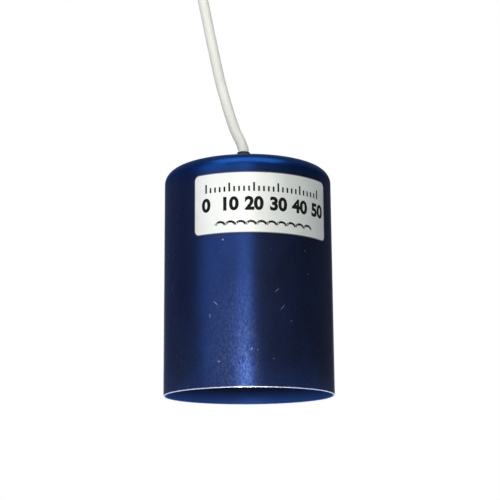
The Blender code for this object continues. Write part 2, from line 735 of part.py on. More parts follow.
def make_cable_tail():
    """The free end beside the coil: jacket, then three cores with crimped ferrules."""
    clear_radius = COIL_MEAN_RADIUS + coil_width / 2 + FIT + cable_radius
    leaves = math.sqrt(clear_radius ** 2 - coil_outer_turn ** 2)
    base = COIL_CENTRE + Vector((-leaves, coil_outer_turn, cable_radius + FIT))
    end = base + Vector((-TAIL_LENGTH, 0, 0))
    middle = (base + end) / 2
    pieces = [tube("cable_tail", [base, middle, end], CABLE_DIAMETER, ivory_jacket())]
    ring = CORE_DIAMETER / math.sqrt(3) + CORE_SPREAD
    for i, row in enumerate(CORE_ROWS):
        angle = math.pi / 2 - 2 * math.pi * i / len(CORE_ROWS)
        start = end + Vector((-FIT, ring * math.cos(angle), ring * math.sin(angle)))
        side = row * (2 * FERRULE_COLLAR_RADIUS + FIT)
        tip = end + Vector((-FIT - TAIL_CORE_LENGTH, side, FERRULE_COLLAR_RADIUS + FIT - end.z))
        run = Vector((-TAIL_CORE_LENGTH / 3, 0, 0))
        points = smooth_path([start, start + run, tip - run, tip], TAIL_CORE_LENGTH / 8)
        pieces.append(tube(f"tail_core_{i + 1}", points, CORE_DIAMETER, wire_colour(i), 2))
        pieces.append(make_ferrule(i, tip + Vector((-FIT, 0, 0))))
    return pieces


def make_ferrule(index, place):
    """Crimp sleeve with a wider plastic collar, lying along -X from its place."""
    length = FERRULE_COLLAR_LENGTH + FERRULE_LENGTH
    neck = FERRULE_COLLAR_LENGTH + (FERRULE_COLLAR_RADIUS - FERRULE_RADIUS)
    ferrule = turned(f"ferrule_{index + 1}", [
        (0, 0), (FERRULE_COLLAR_RADIUS, 0), (FERRULE_COLLAR_RADIUS, FERRULE_COLLAR_LENGTH),
        (FERRULE_RADIUS, neck), (FERRULE_RADIUS, length), (0, length),
    ], stainless_steel(), segments=16, closed=False)
    ferrule.rotation_euler.y = -math.pi / 2
    ferrule.location = place
    return ferrule


def main():
    clear_scene()
    make_bell()
    make_label()
    gland_axis = bpy.data.objects.new("gland axis", None)
    bpy.context.scene.collection.objects.link(gland_axis)
    gland_axis.location.x = GLAND_OFFSET_X
    hang_on(gland_axis, *make_gland(), make_housing(), make_ballast(), make_lock_nut())
    hang_on(gland_axis, *make_cable_end(), *make_electronics(), *make_cover())
    make_cord()
    make_coil()
    for index, angle in enumerate(TIE_ANGLES):
        make_tie(index, angle)
    make_cable_tail()


main()
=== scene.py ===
# %% [markdown]
# # A submersible well probe
#
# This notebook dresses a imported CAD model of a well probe: a thin metal bell, open at the bottom, that is
# let down a well on its signal cable. Water closes the mouth and traps the air, and a sensor high inside
# reads how hard the water pushes on that air. Each step below names a piece, says how it is made in the
# workshop, and then builds it in Blender.

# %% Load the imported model
import math

import bmesh
import bpy
from mathutils import Matrix, Vector


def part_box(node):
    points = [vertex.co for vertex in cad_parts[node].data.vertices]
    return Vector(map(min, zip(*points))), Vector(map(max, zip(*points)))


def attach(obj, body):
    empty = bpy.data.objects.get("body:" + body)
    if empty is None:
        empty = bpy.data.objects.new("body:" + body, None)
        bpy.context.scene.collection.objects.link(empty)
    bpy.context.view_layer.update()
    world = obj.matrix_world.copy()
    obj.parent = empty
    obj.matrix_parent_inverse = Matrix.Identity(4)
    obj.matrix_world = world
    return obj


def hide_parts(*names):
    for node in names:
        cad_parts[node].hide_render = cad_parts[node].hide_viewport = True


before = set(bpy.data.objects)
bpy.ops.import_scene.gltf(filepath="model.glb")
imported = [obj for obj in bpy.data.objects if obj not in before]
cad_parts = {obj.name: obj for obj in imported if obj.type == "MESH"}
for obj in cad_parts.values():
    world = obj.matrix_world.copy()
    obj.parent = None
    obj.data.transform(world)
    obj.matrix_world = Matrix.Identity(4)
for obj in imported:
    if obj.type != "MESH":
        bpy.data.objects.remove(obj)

print("nodes in the packed model:", len(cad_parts))

# %% [markdown]
# ## A clean start
#
# Blender opens with a cube, a lamp and a camera of its own. They would count as pieces of the probe, so
# they go first. Every size below is in metres, in the same frame as the CAD: the origin is the middle of
# the bell's rim, +Z points up along the cable, and -Y points at the viewer.

# %% Remove what Blender starts with
for stray in ("Cube", "Light", "Camera"):
    if stray in bpy.data.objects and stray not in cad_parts:
        bpy.data.objects.remove(bpy.data.objects[stray], do_unlink=True)

scene = bpy.context.scene
scene.view_settings.view_transform = "Standard"
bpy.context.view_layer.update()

# %% [markdown]
# ## The camera
#
# The photographer stood a little below the rim and looked up, so the mouth of the bell shows as a thin
# dark sickle. The camera was recovered from the ellipse of that rim and from the way the bell's two sides
# lean together. Three small turns place it: yaw about the upright, pitch upwards, then a trace of roll.

# %% Place the camera
CAMERA_PLACE = Vector((0.0, -0.51835, -0.053025))
CAMERA_YAW, CAMERA_PITCH, CAMERA_ROLL = -0.0015, 0.2169, -0.0072
CAMERA_LENS_MM, CAMERA_SENSOR_MM = 91.22, 36.0


def camera_axes(yaw, pitch, roll):
    """Right, up and ahead of a camera that first looks along +Y."""
    right = Vector((math.cos(yaw), math.sin(yaw), 0))
    level = Vector((-math.sin(yaw), math.cos(yaw), 0))
    ahead = level * math.cos(pitch) + Vector((0, 0, math.sin(pitch)))
    up = level * -math.sin(pitch) + Vector((0, 0, math.cos(pitch)))
    turned_right = right * math.cos(roll) + up * math.sin(roll)
    turned_up = right * -math.sin(roll) + up * math.cos(roll)
    return turned_right, turned_up, ahead


def make_camera():
    data = bpy.data.cameras.new("camera")
    data.lens, data.sensor_width = CAMERA_LENS_MM, CAMERA_SENSOR_MM
    data.clip_start, data.clip_end = 0.01, 20.0
    camera = bpy.data.objects.new("camera", data)
    right, up, ahead = camera_axes(CAMERA_YAW, CAMERA_PITCH, CAMERA_ROLL)
    rows = [(right[i], up[i], -ahead[i], CAMERA_PLACE[i]) for i in range(3)]
    camera.matrix_world = Matrix((*rows, (0, 0, 0, 1)))
    scene.collection.objects.link(camera)
    scene.camera = camera
    return camera


camera = make_camera()
print("camera stands", round(CAMERA_PLACE.length, 3), "m from the rim's middle")

# %% [markdown]
# ## Helpers for meshes
#
# Most pieces of the probe are turned on a lathe or drawn through a die, so two helpers cover nearly all
# of them. `lathe` spins an outline round the upright axis, and `sweep` drags a round section along a
# path. Both write a UV map of the place along the metal, for a pattern that has to follow it. `carry_over`
# gives a finished mesh to the scene and says which CAD node it stands for.

# %% Mesh helpers
def smooth(obj, degrees):
    """Smooth shading, creased where faces meet at more than this angle."""
    obj.data.shade_smooth()
    obj.data.set_sharp_from_angle(angle=math.radians(degrees))


def mesh_object(name, bm, smooth_degrees=None):
    """A new object at the origin from a bmesh, smooth up to an angle."""
    mesh = bpy.data.meshes.new(name)
    bm.to_mesh(mesh)
    bm.free()
    obj = bpy.data.objects.new(name, mesh)
    scene.collection.objects.link(obj)
    if smooth_degrees is not None:
        smooth(obj, smooth_degrees)
    return obj


def evaluated_mesh(obj):
    """What an object's modifiers or text make of it, as a mesh of its own."""
    bpy.context.view_layer.update()
    return bpy.data.meshes.new_from_object(obj.evaluated_get(bpy.context.evaluated_depsgraph_get()))


def apply_modifiers(obj):
    """Keep what the modifiers make as the object's plain mesh."""
    made = evaluated_mesh(obj)
    obj.modifiers.clear()
    obj.data = made
    return obj


def apply_boolean(obj, tool, operation):
    """Cut an object with a tool and throw the tool away."""
    change = obj.modifiers.new("change", "BOOLEAN")
    change.operation, change.solver, change.object = operation, "EXACT", tool
    apply_modifiers(obj)
    bpy.data.objects.remove(tool, do_unlink=True)
    return obj


def arc(centre, radius, start, end, steps):
    """Points of an arc in the (r, z) plane, angles in degrees from +r towards +z."""
    turns = [math.radians(start + (end - start) * i / steps) for i in range(steps + 1)]
    return [(centre[0] + radius * math.cos(a), centre[1] + radius * math.sin(a)) for a in turns]


def cylinder(radius, low, high):
    """The outline of a plain cylinder, from the axis back to the axis."""
    return [(0, low), (radius, low), (radius, high), (0, high)]


def rounded(outline, radius, steps=3):
    """An outline of (r, z) corners with each corner rounded off, except those on the axis."""
    result = []
    count = len(outline)
    for i, corner in enumerate(outline):
        here = Vector(corner)
        before, after = Vector(outline[i - 1]) - here, Vector(outline[(i + 1) % count]) - here
        cut = min(radius, min(before.length, after.length) / 2.2)
        if corner[0] < 1e-6 or cut < 1e-6:
            result.append(corner)
            continue
        a, b = here + before.normalized() * cut, here + after.normalized() * cut
        for k in range(steps + 1):
            t = k / steps
            p = a * (1 - t) ** 2 + here * 2 * t * (1 - t) + b * t ** 2
            result.append((p.x, p.y))
    return result


def lathe(name, outline, axis=(0.0, 0.0), segments=128, closed=True, smooth_degrees=32.0):
    """Solid of revolution about an upright axis, with a UV map: u round it, v along the outline."""
    bm = bmesh.new()
    layer = bm.loops.layers.uv.new("along")
    travelled = [0.0]
    for p, q in zip(outline, outline[1:] + outline[:1]):
        travelled.append(travelled[-1] + math.hypot(q[0] - p[0], q[1] - p[1]))
    turns = [2 * math.pi * k / segments for k in range(segments)]
    rings = []
    for r, z in outline:
        spots = [(axis[0] + r * math.cos(a), axis[1] + r * math.sin(a), z) for a in turns]
        rings.append([bm.verts.new(spot) for spot in (spots if r >= 1e-7 else [(*axis, z)])])
    for i in range(len(rings) if closed else len(rings) - 1):
        low, high = rings[i], rings[(i + 1) % len(rings)]
        for k in range(segments):
            corners = []
            for ring, step, v in ((low, k, travelled[i]), (low, k + 1, travelled[i]),
                                  (high, k + 1, travelled[i + 1]), (high, k, travelled[i + 1])):
                vert = ring[0] if len(ring) == 1 else ring[step % segments]
                if vert not in [c[0] for c in corners]:
                    corners.append((vert, (step / segments, v)))
            if len(corners) > 2:
                face = bm.faces.new([c[0] for c in corners])
                for loop, (_, uv) in zip(face.loops, corners):
                    loop[layer].uv = uv
    bmesh.ops.recalc_face_normals(bm, faces=bm.faces)
    return mesh_object(name, bm, smooth_degrees)


def sweep(name, points, radius, sides=20):
    """Round bar along a path, with a UV map: u round it in turns, v along it in metres."""
    bm = bmesh.new()
    layer = bm.loops.layers.uv.new("along")
    side = Vector((0, 1, 0))
    turns = [2 * math.pi * k / sides for k in range(sides)]
    rings, along = [], [0.0]
    for i, point in enumerate(points):
        ahead = (points[min(i + 1, len(points) - 1)] - points[max(i - 1, 0)]).normalized()
        side = (side - ahead * side.dot(ahead)).normalized()
        other = ahead.cross(side)
        rings.append([bm.verts.new(point + (side * math.cos(a) + other * math.sin(a)) * radius)
                      for a in turns])
        if i:
            along.append(along[-1] + (point - points[i - 1]).length)
    for i in range(len(rings) - 1):
        for k in range(sides):
            n = (k + 1) % sides
            face = bm.faces.new((rings[i][k], rings[i][n], rings[i + 1][n], rings[i + 1][k]))
            spots = ((k, along[i]), (k + 1, along[i]), (k + 1, along[i + 1]), (k, along[i + 1]))
            for loop, (turn, v) in zip(face.loops, spots):
                loop[layer].uv = (turn / sides, v)
    for ring in (rings[0], rings[-1]):
        bm.faces.new(ring)
    bmesh.ops.recalc_face_normals(bm, faces=bm.faces)
    return mesh_object(name, bm, 50.0)


def dress(obj, material):
    """Give a piece its finish in its first slot."""
    obj.data.materials.clear()
    obj.data.materials.append(material)
    return obj


def carry_over(obj, slot, *nodes):
    """Make a piece move with the probe and hide the CAD nodes that it stands for; the slot is not used."""
    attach(obj, "root")
    if nodes:
        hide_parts(*nodes)
    return obj


print("mesh helpers are ready")

# %% [markdown]
# ## The cable's route
#
# The cable is one length of stiff signal lead. It leaves the gland straight up, leans over to the left as
# the photograph shows, bows over outside the picture and comes down on to its own coil. The coil holds
# the spare length for the shelf. Each layer is a flat spiral, and the next layer down winds back the
# other way, so the turns lie beside and on each other, one diameter apart, and never cross in one layer.

# %% Follow the cable from the gland to the coil
CABLE_DIAMETER = 0.0045
CABLE_RADIUS = CABLE_DIAMETER / 2
FIT = 0.0003
TIE_THICKNESS = 0.0006
COIL_CENTRE = Vector((-0.142, 0.0, 0.0))
COIL_MEAN_RADIUS = 0.0259
COIL_TURNS_A_LAYER = 3.5
COIL_LAYERS = 8
COIL_LANDING, COIL_TOP_RUN, COIL_LANDING_RISE = 100.0, 40.0, 0.0055
CABLE_EXIT = Vector((-0.0017, 0.0, 0.1038))
CABLE_ROUTE = (
    (-0.00195, 0.0, 0.1062), (-0.00330, 0.0, 0.1094), (-0.00570, 0.0, 0.1148), (-0.00890, 0.0, 0.1255),
    (-0.01175, 0.0, 0.1365), (-0.01400, 0.0, 0.1475), (-0.01620, 0.0, 0.1585), (-0.01850, 0.0003, 0.1705),
    (-0.02140, 0.0008, 0.1830), (-0.02760, 0.0015, 0.1958), (-0.03760, 0.0024, 0.2062),
    (-0.05050, 0.0036, 0.2130), (-0.06500, 0.0051, 0.2152), (-0.07950, 0.0069, 0.2130),
    (-0.09400, 0.0090, 0.2072), (-0.10530, 0.0115, 0.1972), (-0.11270, 0.0142, 0.1835),
    (-0.11690, 0.0170, 0.1676), (-0.11920, 0.0198, 0.1505), (-0.12080, 0.0224, 0.1335),
    (-0.12200, 0.0247, 0.1175), (-0.12300, 0.0269, 0.1025), (-0.12420, 0.0290, 0.0880),
    (-0.12630, 0.0308, 0.0755), (-0.12980, 0.0323, 0.0648), (-0.13470, 0.0333, 0.0562),
    (-0.14080, 0.0337, 0.0497),
)

coil_low = TIE_THICKNESS + FIT
coil_top = coil_low + COIL_LAYERS * CABLE_DIAMETER
coil_width = (COIL_TURNS_A_LAYER + 1) * CABLE_DIAMETER
outer_turn = COIL_MEAN_RADIUS + COIL_TURNS_A_LAYER * CABLE_DIAMETER / 2
on_coil = coil_top + FIT + CABLE_RADIUS


def coil_point(degrees, radius, height):
    a = math.radians(degrees)
    return COIL_CENTRE + Vector((radius * math.cos(a), radius * math.sin(a), height))


def smooth_path(points, spacing):
    """Points at an even spacing along a Catmull-Rom curve through the given points."""
    ends = [points[0] * 2 - points[1], *points, points[-1] * 2 - points[-2]]
    fine = []
    steps = 24
    for i in range(1, len(ends) - 2):
        a, b, c, d = ends[i - 1:i + 3]
        for k in range(steps):
            t = k / steps
            fine.append(0.5 * (2 * b + (c - a) * t + (2 * a - 5 * b + 4 * c - d) * t ** 2
                               + (3 * b - a - 3 * c + d) * t ** 3))
    fine.append(points[-1])
    total = sum((q - p).length for p, q in zip(fine, fine[1:]))
    count = max(1, round(total / spacing))
    picked, travelled, wanted = [fine[0]], 0.0, total / count
    for p, q in zip(fine, fine[1:]):
        step = (q - p).length
        while travelled + step >= wanted and len(picked) < count:
            picked.append(p.lerp(q, (wanted - travelled) / step))
            wanted += total / count
        travelled += step
    return [*picked, fine[-1]]


def cable_to_coil():
    straight = CABLE_EXIT + Vector((0, 0, 4 * FIT))
    route = [CABLE_EXIT, straight] + [Vector(p) for p in CABLE_ROUTE]
    lands = 4
    for i in range(lands + 1):
        settle = COIL_LANDING_RISE * (1 - i / lands) ** 2
        route.append(coil_point(COIL_LANDING + COIL_TOP_RUN * i / lands, outer_turn, on_coil + settle))
    return [CABLE_EXIT, straight] + smooth_path(route[1:], 0.003)[1:]


free_run = cable_to_coil()
print("points from the gland to the coil:", len(free_run))

# %% [markdown]
# The spiral is written as a rule and not drawn by hand. The angle only ever grows. The radius shrinks by
# one diameter in a turn on the way in and grows by one on the way out, and at the end of each layer the
# cable eases down by one diameter while it turns back. The last turn runs off the coil in a straight
# line, down to the surface that the coil lies on.

# %% Wind the coil and run off it
COIL_START = 90.0
COIL_STEP = 12.0
COIL_CHANGE = 50.0
COIL_ENTRY = 60.0
TAIL_LENGTH = 0.0115


def ease(t):
    t = min(max(t, 0.0), 1.0)
    return t * t * (3 - 2 * t)


def coil_turns():
    points = []
    landed = COIL_LANDING + COIL_TOP_RUN
    total = 360.0 * COIL_TURNS_A_LAYER * COIL_LAYERS
    angle = landed + COIL_STEP
    while angle <= COIL_START + total + 0.01:
        turns = (angle - COIL_START) / 360.0
        layer = min(int(turns / COIL_TURNS_A_LAYER), COIL_LAYERS - 1)
        inward = turns - layer * COIL_TURNS_A_LAYER
        if layer % 2:
            inward = COIL_TURNS_A_LAYER - inward
        height = coil_top - CABLE_RADIUS
        for k in range(1, COIL_LAYERS):
            middle = COIL_START + 360.0 * COIL_TURNS_A_LAYER * k
            height -= CABLE_DIAMETER * ease((angle - middle + COIL_CHANGE) / (2 * COIL_CHANGE))
        height = on_coil + (height - on_coil) * ease((angle - landed) / COIL_ENTRY)
        points.append(coil_point(angle, outer_turn - inward * CABLE_DIAMETER, height))
        angle += COIL_STEP
    return points


def run_off(start):
    """The straight end beside the coil, eased down on to the surface."""
    clear_radius = COIL_MEAN_RADIUS + coil_width / 2 + FIT + CABLE_RADIUS
    end_x = COIL_CENTRE.x - math.sqrt(clear_radius ** 2 - outer_turn ** 2) - TAIL_LENGTH
    lies_at = CABLE_RADIUS + FIT
    steps = 9
    points = []
    for i in range(1, steps + 1):
        t = i / steps
        points.append(Vector((start.x + (end_x - start.x) * t, outer_turn,
                              start.z + (lies_at - start.z) * ease(t / 0.5))))
    return points


cable_points = free_run + coil_turns()
cable_points += run_off(cable_points[-1])
cable_end = cable_points[-1]
cable_length = sum((q - p).length for p, q in zip(cable_points, cable_points[1:]))
print("cable:", len(cable_points), "points,", round(cable_length, 3), "m long")

# %% [markdown]
# ## Helpers for finishes
#
# A finish is a small tree of nodes round one Principled shader. `add` makes a node and fills its inputs,
# either with a plain value or with another node's output, and the other helpers are short names for the
# nodes that come up often. Patterns read the object's own coordinates, in metres, so they keep their real
# size and stay on the piece when the camera moves.

# %% Node helpers
def new_finish(name):
    material = bpy.data.materials.new(name)
    material.use_nodes = True
    tree = material.node_tree
    return material, tree, tree.nodes["Principled BSDF"]


def fill(tree, socket, value):
    """Link a socket from another node's output, or give it a plain value."""
    if isinstance(value, bpy.types.NodeSocket):
        tree.links.new(value, socket)
    elif socket.type == "RGBA":
        socket.default_value = (*value[:3], 1.0)
    else:
        socket.default_value = value


def add(tree, kind, inputs=None, **settings):
    """A new node, of a shader's kind unless its name says otherwise."""
    node = tree.nodes.new(kind if kind.startswith(("GeometryNode", "NodeGroup")) else "ShaderNode" + kind)
    for key, value in settings.items():
        setattr(node, key, value)
    for key, value in (inputs or {}).items():
        fill(tree, node.inputs[key], value)
    return node


def plug(tree, shader, **sockets):
    """Fill the shader's sockets, which are named here with underscores."""
    for key, value in sockets.items():
        fill(tree, shader.inputs[key.replace("_", " ").title().replace("Ior", "IOR")], value)


def mapped(tree, vector, **change):
    """A vector with a Location, Rotation or Scale put on it."""
    return add(tree, "Mapping", {"Vector": vector, **change}).outputs["Vector"]


def object_spot(tree, scale=(1, 1, 1)):
    """The object's own coordinates, stretched by scale."""
    return mapped(tree, add(tree, "TexCoord").outputs["Object"], Scale=scale)


def along_spot(tree, scale=(1, 1, 1)):
    """The UV map of a piece: its place along the metal, stretched by scale."""
    return mapped(tree, add(tree, "UVMap", uv_map="along").outputs["UV"], Scale=scale)


def length_of(tree, vector):
    return add(tree, "VectorMath", {0: vector}, operation="LENGTH").outputs["Value"]


def noise(tree, spot, scale, detail=4.0, rough=0.55, distortion=0.0):
    return add(tree, "TexNoise", {"Vector": spot, "Scale": scale, "Detail": detail, "Roughness": rough,
                                  "Distortion": distortion}).outputs["Fac"]


def remap(tree, value, low, high, to_low=0.0, to_high=1.0):
    """Stretch low..high to to_low..to_high, held at both ends."""
    return add(tree, "MapRange", {"Value": value, "From Min": low, "From Max": high, "To Min": to_low,
                                  "To Max": to_high}, clamp=True).outputs["Result"]


def maths(tree, operation, a, b=0.0):
    return add(tree, "Math", {0: a, 1: b}, operation=operation).outputs["Value"]


def blend_colours(tree, factor, a, b):
    return add(tree, "Mix", {0: factor, 6: a, 7: b}, data_type="RGBA").outputs[2]


def bump(tree, height, strength, distance):
    return add(tree, "Bump", {"Height": height, "Strength": strength, "Distance": distance}).outputs["Normal"]


def random_spots(tree, spot, scale, channel, rare, edge, core):
    """Small round spots in those cells whose random colour channel is above `rare`."""
    cells = add(tree, "TexVoronoi", {"Vector": spot, "Scale": scale, "Randomness": 1.0}).outputs
    lot = add(tree, "SeparateColor", {"Color": cells["Color"]}).outputs[channel]
    return maths(tree, "MULTIPLY", remap(tree, cells["Distance"], edge, core),
                 maths(tree, "GREATER_THAN", lot, rare))


print("node helpers are ready")

# %% [markdown]
# ## Finish: the cable's jacket
#
# The jacket is ivory PVC with a soft shine. Handling leaves faint grey smears, a few nicks, and a very
# slight unevenness of the extrusion along its length. The smears are drawn out upwards, the way that most
# of the free cable runs.

# %% Ivory jacket
IVORY_DULL, IVORY_CLEAN = (0.790, 0.795, 0.685), (0.845, 0.849, 0.745)
GRIME, NICK_DIRT = (0.50, 0.49, 0.42), (0.34, 0.32, 0.28)


def make_ivory_jacket():
    material, tree, shader = new_finish("ivory cable jacket")
    spot = object_spot(tree)
    smears = noise(tree, object_spot(tree, (1, 1, 0.35)), 260.0, 5.0, 0.6)
    grime = remap(tree, smears, 0.56, 0.75)
    clean = blend_colours(tree, remap(tree, noise(tree, spot, 60.0, 3.0), 0.3, 0.7), IVORY_DULL, IVORY_CLEAN)
    colour = blend_colours(tree, maths(tree, "MULTIPLY", grime, 0.16), clean, GRIME)
    nick = random_spots(tree, spot, 95.0, "Red", 0.86, 0.10, 0.05)
    colour = blend_colours(tree, maths(tree, "MULTIPLY", nick, 0.55), colour, NICK_DIRT)
    skin = maths(tree, "MULTIPLY", noise(tree, spot, 1500.0, 3.0), 0.25)
    height = maths(tree, "SUBTRACT", maths(tree, "ADD", skin, noise(tree, spot, 90.0, 2.0)), nick)
    plug(tree, shader, base_color=colour, roughness=remap(tree, smears, 0.3, 0.7, 0.36, 0.5),
         normal=bump(tree, height, 0.16, 0.0004), specular_ior_level=0.42, coat_weight=0.12,
         coat_roughness=0.2)
    return material


ivory_jacket = make_ivory_jacket()
print("finish:", ivory_jacket.name)

# %% [markdown]
# ## The cable
#
# The cable is a sweep along the route that the last steps worked out. It is one mesh from the gland to
# its stripped end, so nothing can come apart where the free run meets the coil. It stands for three CAD
# solids: the run, the coil's closed ring and the tail.

# %% Build the cable
cable = dress(sweep("cable", cable_points, CABLE_RADIUS, sides=20), ivory_jacket)
carry_over(cable, "cable_jacket", "cable_run", "cable_coil", "cable_tail")
print("cable faces:", len(cable.data.polygons))

# %% [markdown]
# ## Finish: dark blue anodised aluminium
#
# Anodising grows a clear oxide skin on the aluminium and dyes it. The metal still shines through, so the
# finish is a metallic one with a deep blue tint. Drawing the bell over a punch leaves very fine upright
# marks, the dye takes unevenly round them, and small chips and scratches bare a paler metal. The lip is
# the last edge to be cut and the first to be knocked, so it is worn bright.

# %% Marks that are worn into the blue skin
BELL_RADIUS, BELL_HEIGHT, BELL_WALL = 0.035, 0.094, 0.0008
SHOULDER_RADIUS, LIP_ROUND = 0.0052, 0.00018
BELL_MARKS = (
    (0.0227, -0.0272, 0.0547, 0.00034, 0.00034, 0.0), (0.0240, -0.0262, 0.0456, 0.00030, 0.00022, 0.0),
    (0.0169, -0.0312, 0.0260, 0.00034, 0.00026, 0.4), (0.0098, -0.0342, 0.0110, 0.00028, 0.00028, 0.0),
    (-0.0118, -0.0336, 0.0101, 0.00040, 0.00030, 0.0), (0.0011, -0.0356, 0.0147, 0.00030, 0.00024, 0.3),
    (0.0035, -0.0354, 0.0143, 0.00024, 0.00024, 0.0), (0.0113, -0.0336, 0.0378, 0.00016, 0.00130, -0.85),
    (0.0135, -0.0328, 0.0312, 0.00014, 0.00170, -0.7), (-0.0130, -0.0330, 0.0330, 0.00014, 0.00150, 0.85),
    (-0.0152, -0.0320, 0.0282, 0.00012, 0.00120, 0.0), (-0.0310, -0.0172, 0.0420, 0.00012, 0.00160, 0.0),
)
MARK_DEPTH = 0.004


def worn_mark(tree, spot, mark):
    """A soft-edged oval mask on the bell's wall: its centre, half width, half height and lean."""
    x, y, z, half_width, half_height, lean = mark
    turn = math.atan2(x, -y)
    local = mapped(tree, spot, Location=(-x, -y, -z))
    across = mapped(tree, local, Rotation=(0, 0, -turn))
    leaned = mapped(tree, across, Rotation=(0, lean, 0))
    oval = mapped(tree, leaned, Scale=(1 / half_width, 1 / MARK_DEPTH, 1 / half_height))
    return remap(tree, length_of(tree, oval), 1.0, 0.55)


print("marks on the bell:", len(BELL_MARKS))

# %% Blue anodised finish
BLUE_DARK, BLUE_LIGHT = (0.0045, 0.0220, 0.108), (0.0066, 0.0295, 0.138)
# The shoulder blue is a painted highlight: brighter and more saturated, standing in for the top lamp's
# reflection.
BLUE_SHOULDER_PAINTED_HIGHLIGHT, BLUE_DRAWN = (0.0030, 0.0440, 0.205), (0.003, 0.009, 0.045)
# The pale blue below is partly wear and partly a painted highlight, laid where the low lamp's reflection
# falls.
BLUE_WORN_AND_HIGHLIGHT = (0.105, 0.135, 0.250)
# Inside the bell: a painted light just above the lip and a painted shade deeper in.
BLUE_INSIDE_PAINTED_LIGHT, BLUE_INSIDE_PAINTED_SHADE = (0.0320, 0.1120, 0.460), (0.0040, 0.0140, 0.058)
BARE_METAL, BLUE_SHEEN = (0.76, 0.79, 0.86), (0.7, 0.8, 1.0)


def worn_patch_and_highlight(tree, x, z, mottle):
    """Paler mottled patch low on the bell, left of middle: partly wear, partly a painted highlight where the
    low lamp reflects.
    """
    low = remap(tree, z, 0.050, 0.010, 0.12, 1.0)
    left = maths(tree, "MULTIPLY", remap(tree, x, -0.018, -0.005, 0.25, 1.0),
                 remap(tree, x, 0.006, 0.0, 0.2, 1.0))
    return maths(tree, "MULTIPLY", remap(tree, mottle, 0.42, 0.68, 0.0, 0.56),
                 maths(tree, "MULTIPLY", low, left))


def make_anodised_blue():
    material, tree, shader = new_finish("blue anodised aluminium")
    spot = object_spot(tree)
    drawn = noise(tree, object_spot(tree, (1, 1, 0.16)), 900.0, 5.0, 0.6)
    dye = noise(tree, object_spot(tree, (1, 1, 0.5)), 120.0, 4.0, 0.6)
    mottle = noise(tree, object_spot(tree, (1, 1, 0.55)), 1500.0, 4.0, 0.75)
    place = add(tree, "SeparateXYZ", {"Vector": spot}).outputs
    x, z = place["X"], place["Z"]
    colour = blend_colours(tree, remap(tree, dye, 0.3, 0.7), BLUE_DARK, BLUE_LIGHT)
    # Painted highlight: the shoulder band above the wall gets the brighter blue.
    colour = blend_colours(tree, remap(tree, z, 0.0858, 0.0880), colour, BLUE_SHOULDER_PAINTED_HIGHLIGHT)
    # Partly wear, partly painted highlight: a mottled paler patch low on the bell, a little left of its
    # middle.
    colour = blend_colours(tree, worn_patch_and_highlight(tree, x, z, mottle), colour, BLUE_WORN_AND_HIGHLIGHT)
    colour = blend_colours(tree, remap(tree, drawn, 0.36, 0.24, 0.0, 0.6), colour, BLUE_DRAWN)
    worn = random_spots(tree, spot, 210.0, "Green", 0.93, 0.085, 0.045)
    for mark in BELL_MARKS:
        worn = maths(tree, "MAXIMUM", worn, worn_mark(tree, spot, mark))
    ragged = maths(tree, "MULTIPLY", noise(tree, spot, 700.0, 3.0), 0.0005)
    lip = remap(tree, maths(tree, "ADD", z, ragged), 0.00062, 0.00034)
    bare = maths(tree, "MAXIMUM", maths(tree, "MULTIPLY", worn, 0.40), lip)
    colour = blend_colours(tree, bare, colour, BARE_METAL)
    radius = length_of(tree, mapped(tree, spot, Scale=(1, 1, 0)))
    inside = remap(tree, radius, BELL_RADIUS - 0.0003, BELL_RADIUS - 0.0005)
    inside = maths(tree, "MULTIPLY", inside, remap(tree, z, 0.0905, 0.0900))
    # Painted light and shade on the inner wall: bright blue just above the lip, fading to dark blue higher
    # up.
    inside_painted_light_and_shade = blend_colours(tree, remap(tree, z, 0.0012, 0.0062), BLUE_INSIDE_PAINTED_LIGHT, BLUE_INSIDE_PAINTED_SHADE)
    colour = blend_colours(tree, maths(tree, "MULTIPLY", inside, 0.85), colour, inside_painted_light_and_shade)
    rough = maths(tree, "ADD", remap(tree, dye, 0.3, 0.7, 0.26, 0.31), maths(tree, "MULTIPLY", bare, 0.10))
    rough = maths(tree, "ADD", rough, maths(tree, "MULTIPLY", inside, 0.24))
    height = maths(tree, "ADD", maths(tree, "MULTIPLY", drawn, 0.8), noise(tree, spot, 4200.0, 3.0, 0.6))
    height = maths(tree, "SUBTRACT", height, maths(tree, "MULTIPLY", worn, 2.0))
    plug(tree, shader, base_color=colour, metallic=1.0, roughness=rough,
         normal=bump(tree, height, 0.22, 0.00006), coat_roughness=0.55,
         coat_weight=remap(tree, z, 0.0850, 0.0885, 0.28, 0.08), specular_tint=BLUE_SHEEN)
    return material


anodised_blue = make_anodised_blue()
print("finish:", anodised_blue.name, "with", len(anodised_blue.node_tree.nodes), "nodes")

# %% [markdown]
# ## The bell
#
# The bell is drawn from one disc of sheet: crown, shoulder and wall are the same 0.8 mm of metal. A lathe
# outline is the honest way to make it, because every cross-section is a circle. The outline runs from the
# axis over the crown, round the shoulder, down the outside, round the rolled lip and back up the inside.
# The hole for the gland sits a little off the axis, so it is cut afterwards.

# %% Turn the bell and cut the gland's hole
GLAND_X = -0.0017
GLAND_HOLE_RADIUS = 0.0050
CROWN_UNDER = BELL_HEIGHT - BELL_WALL


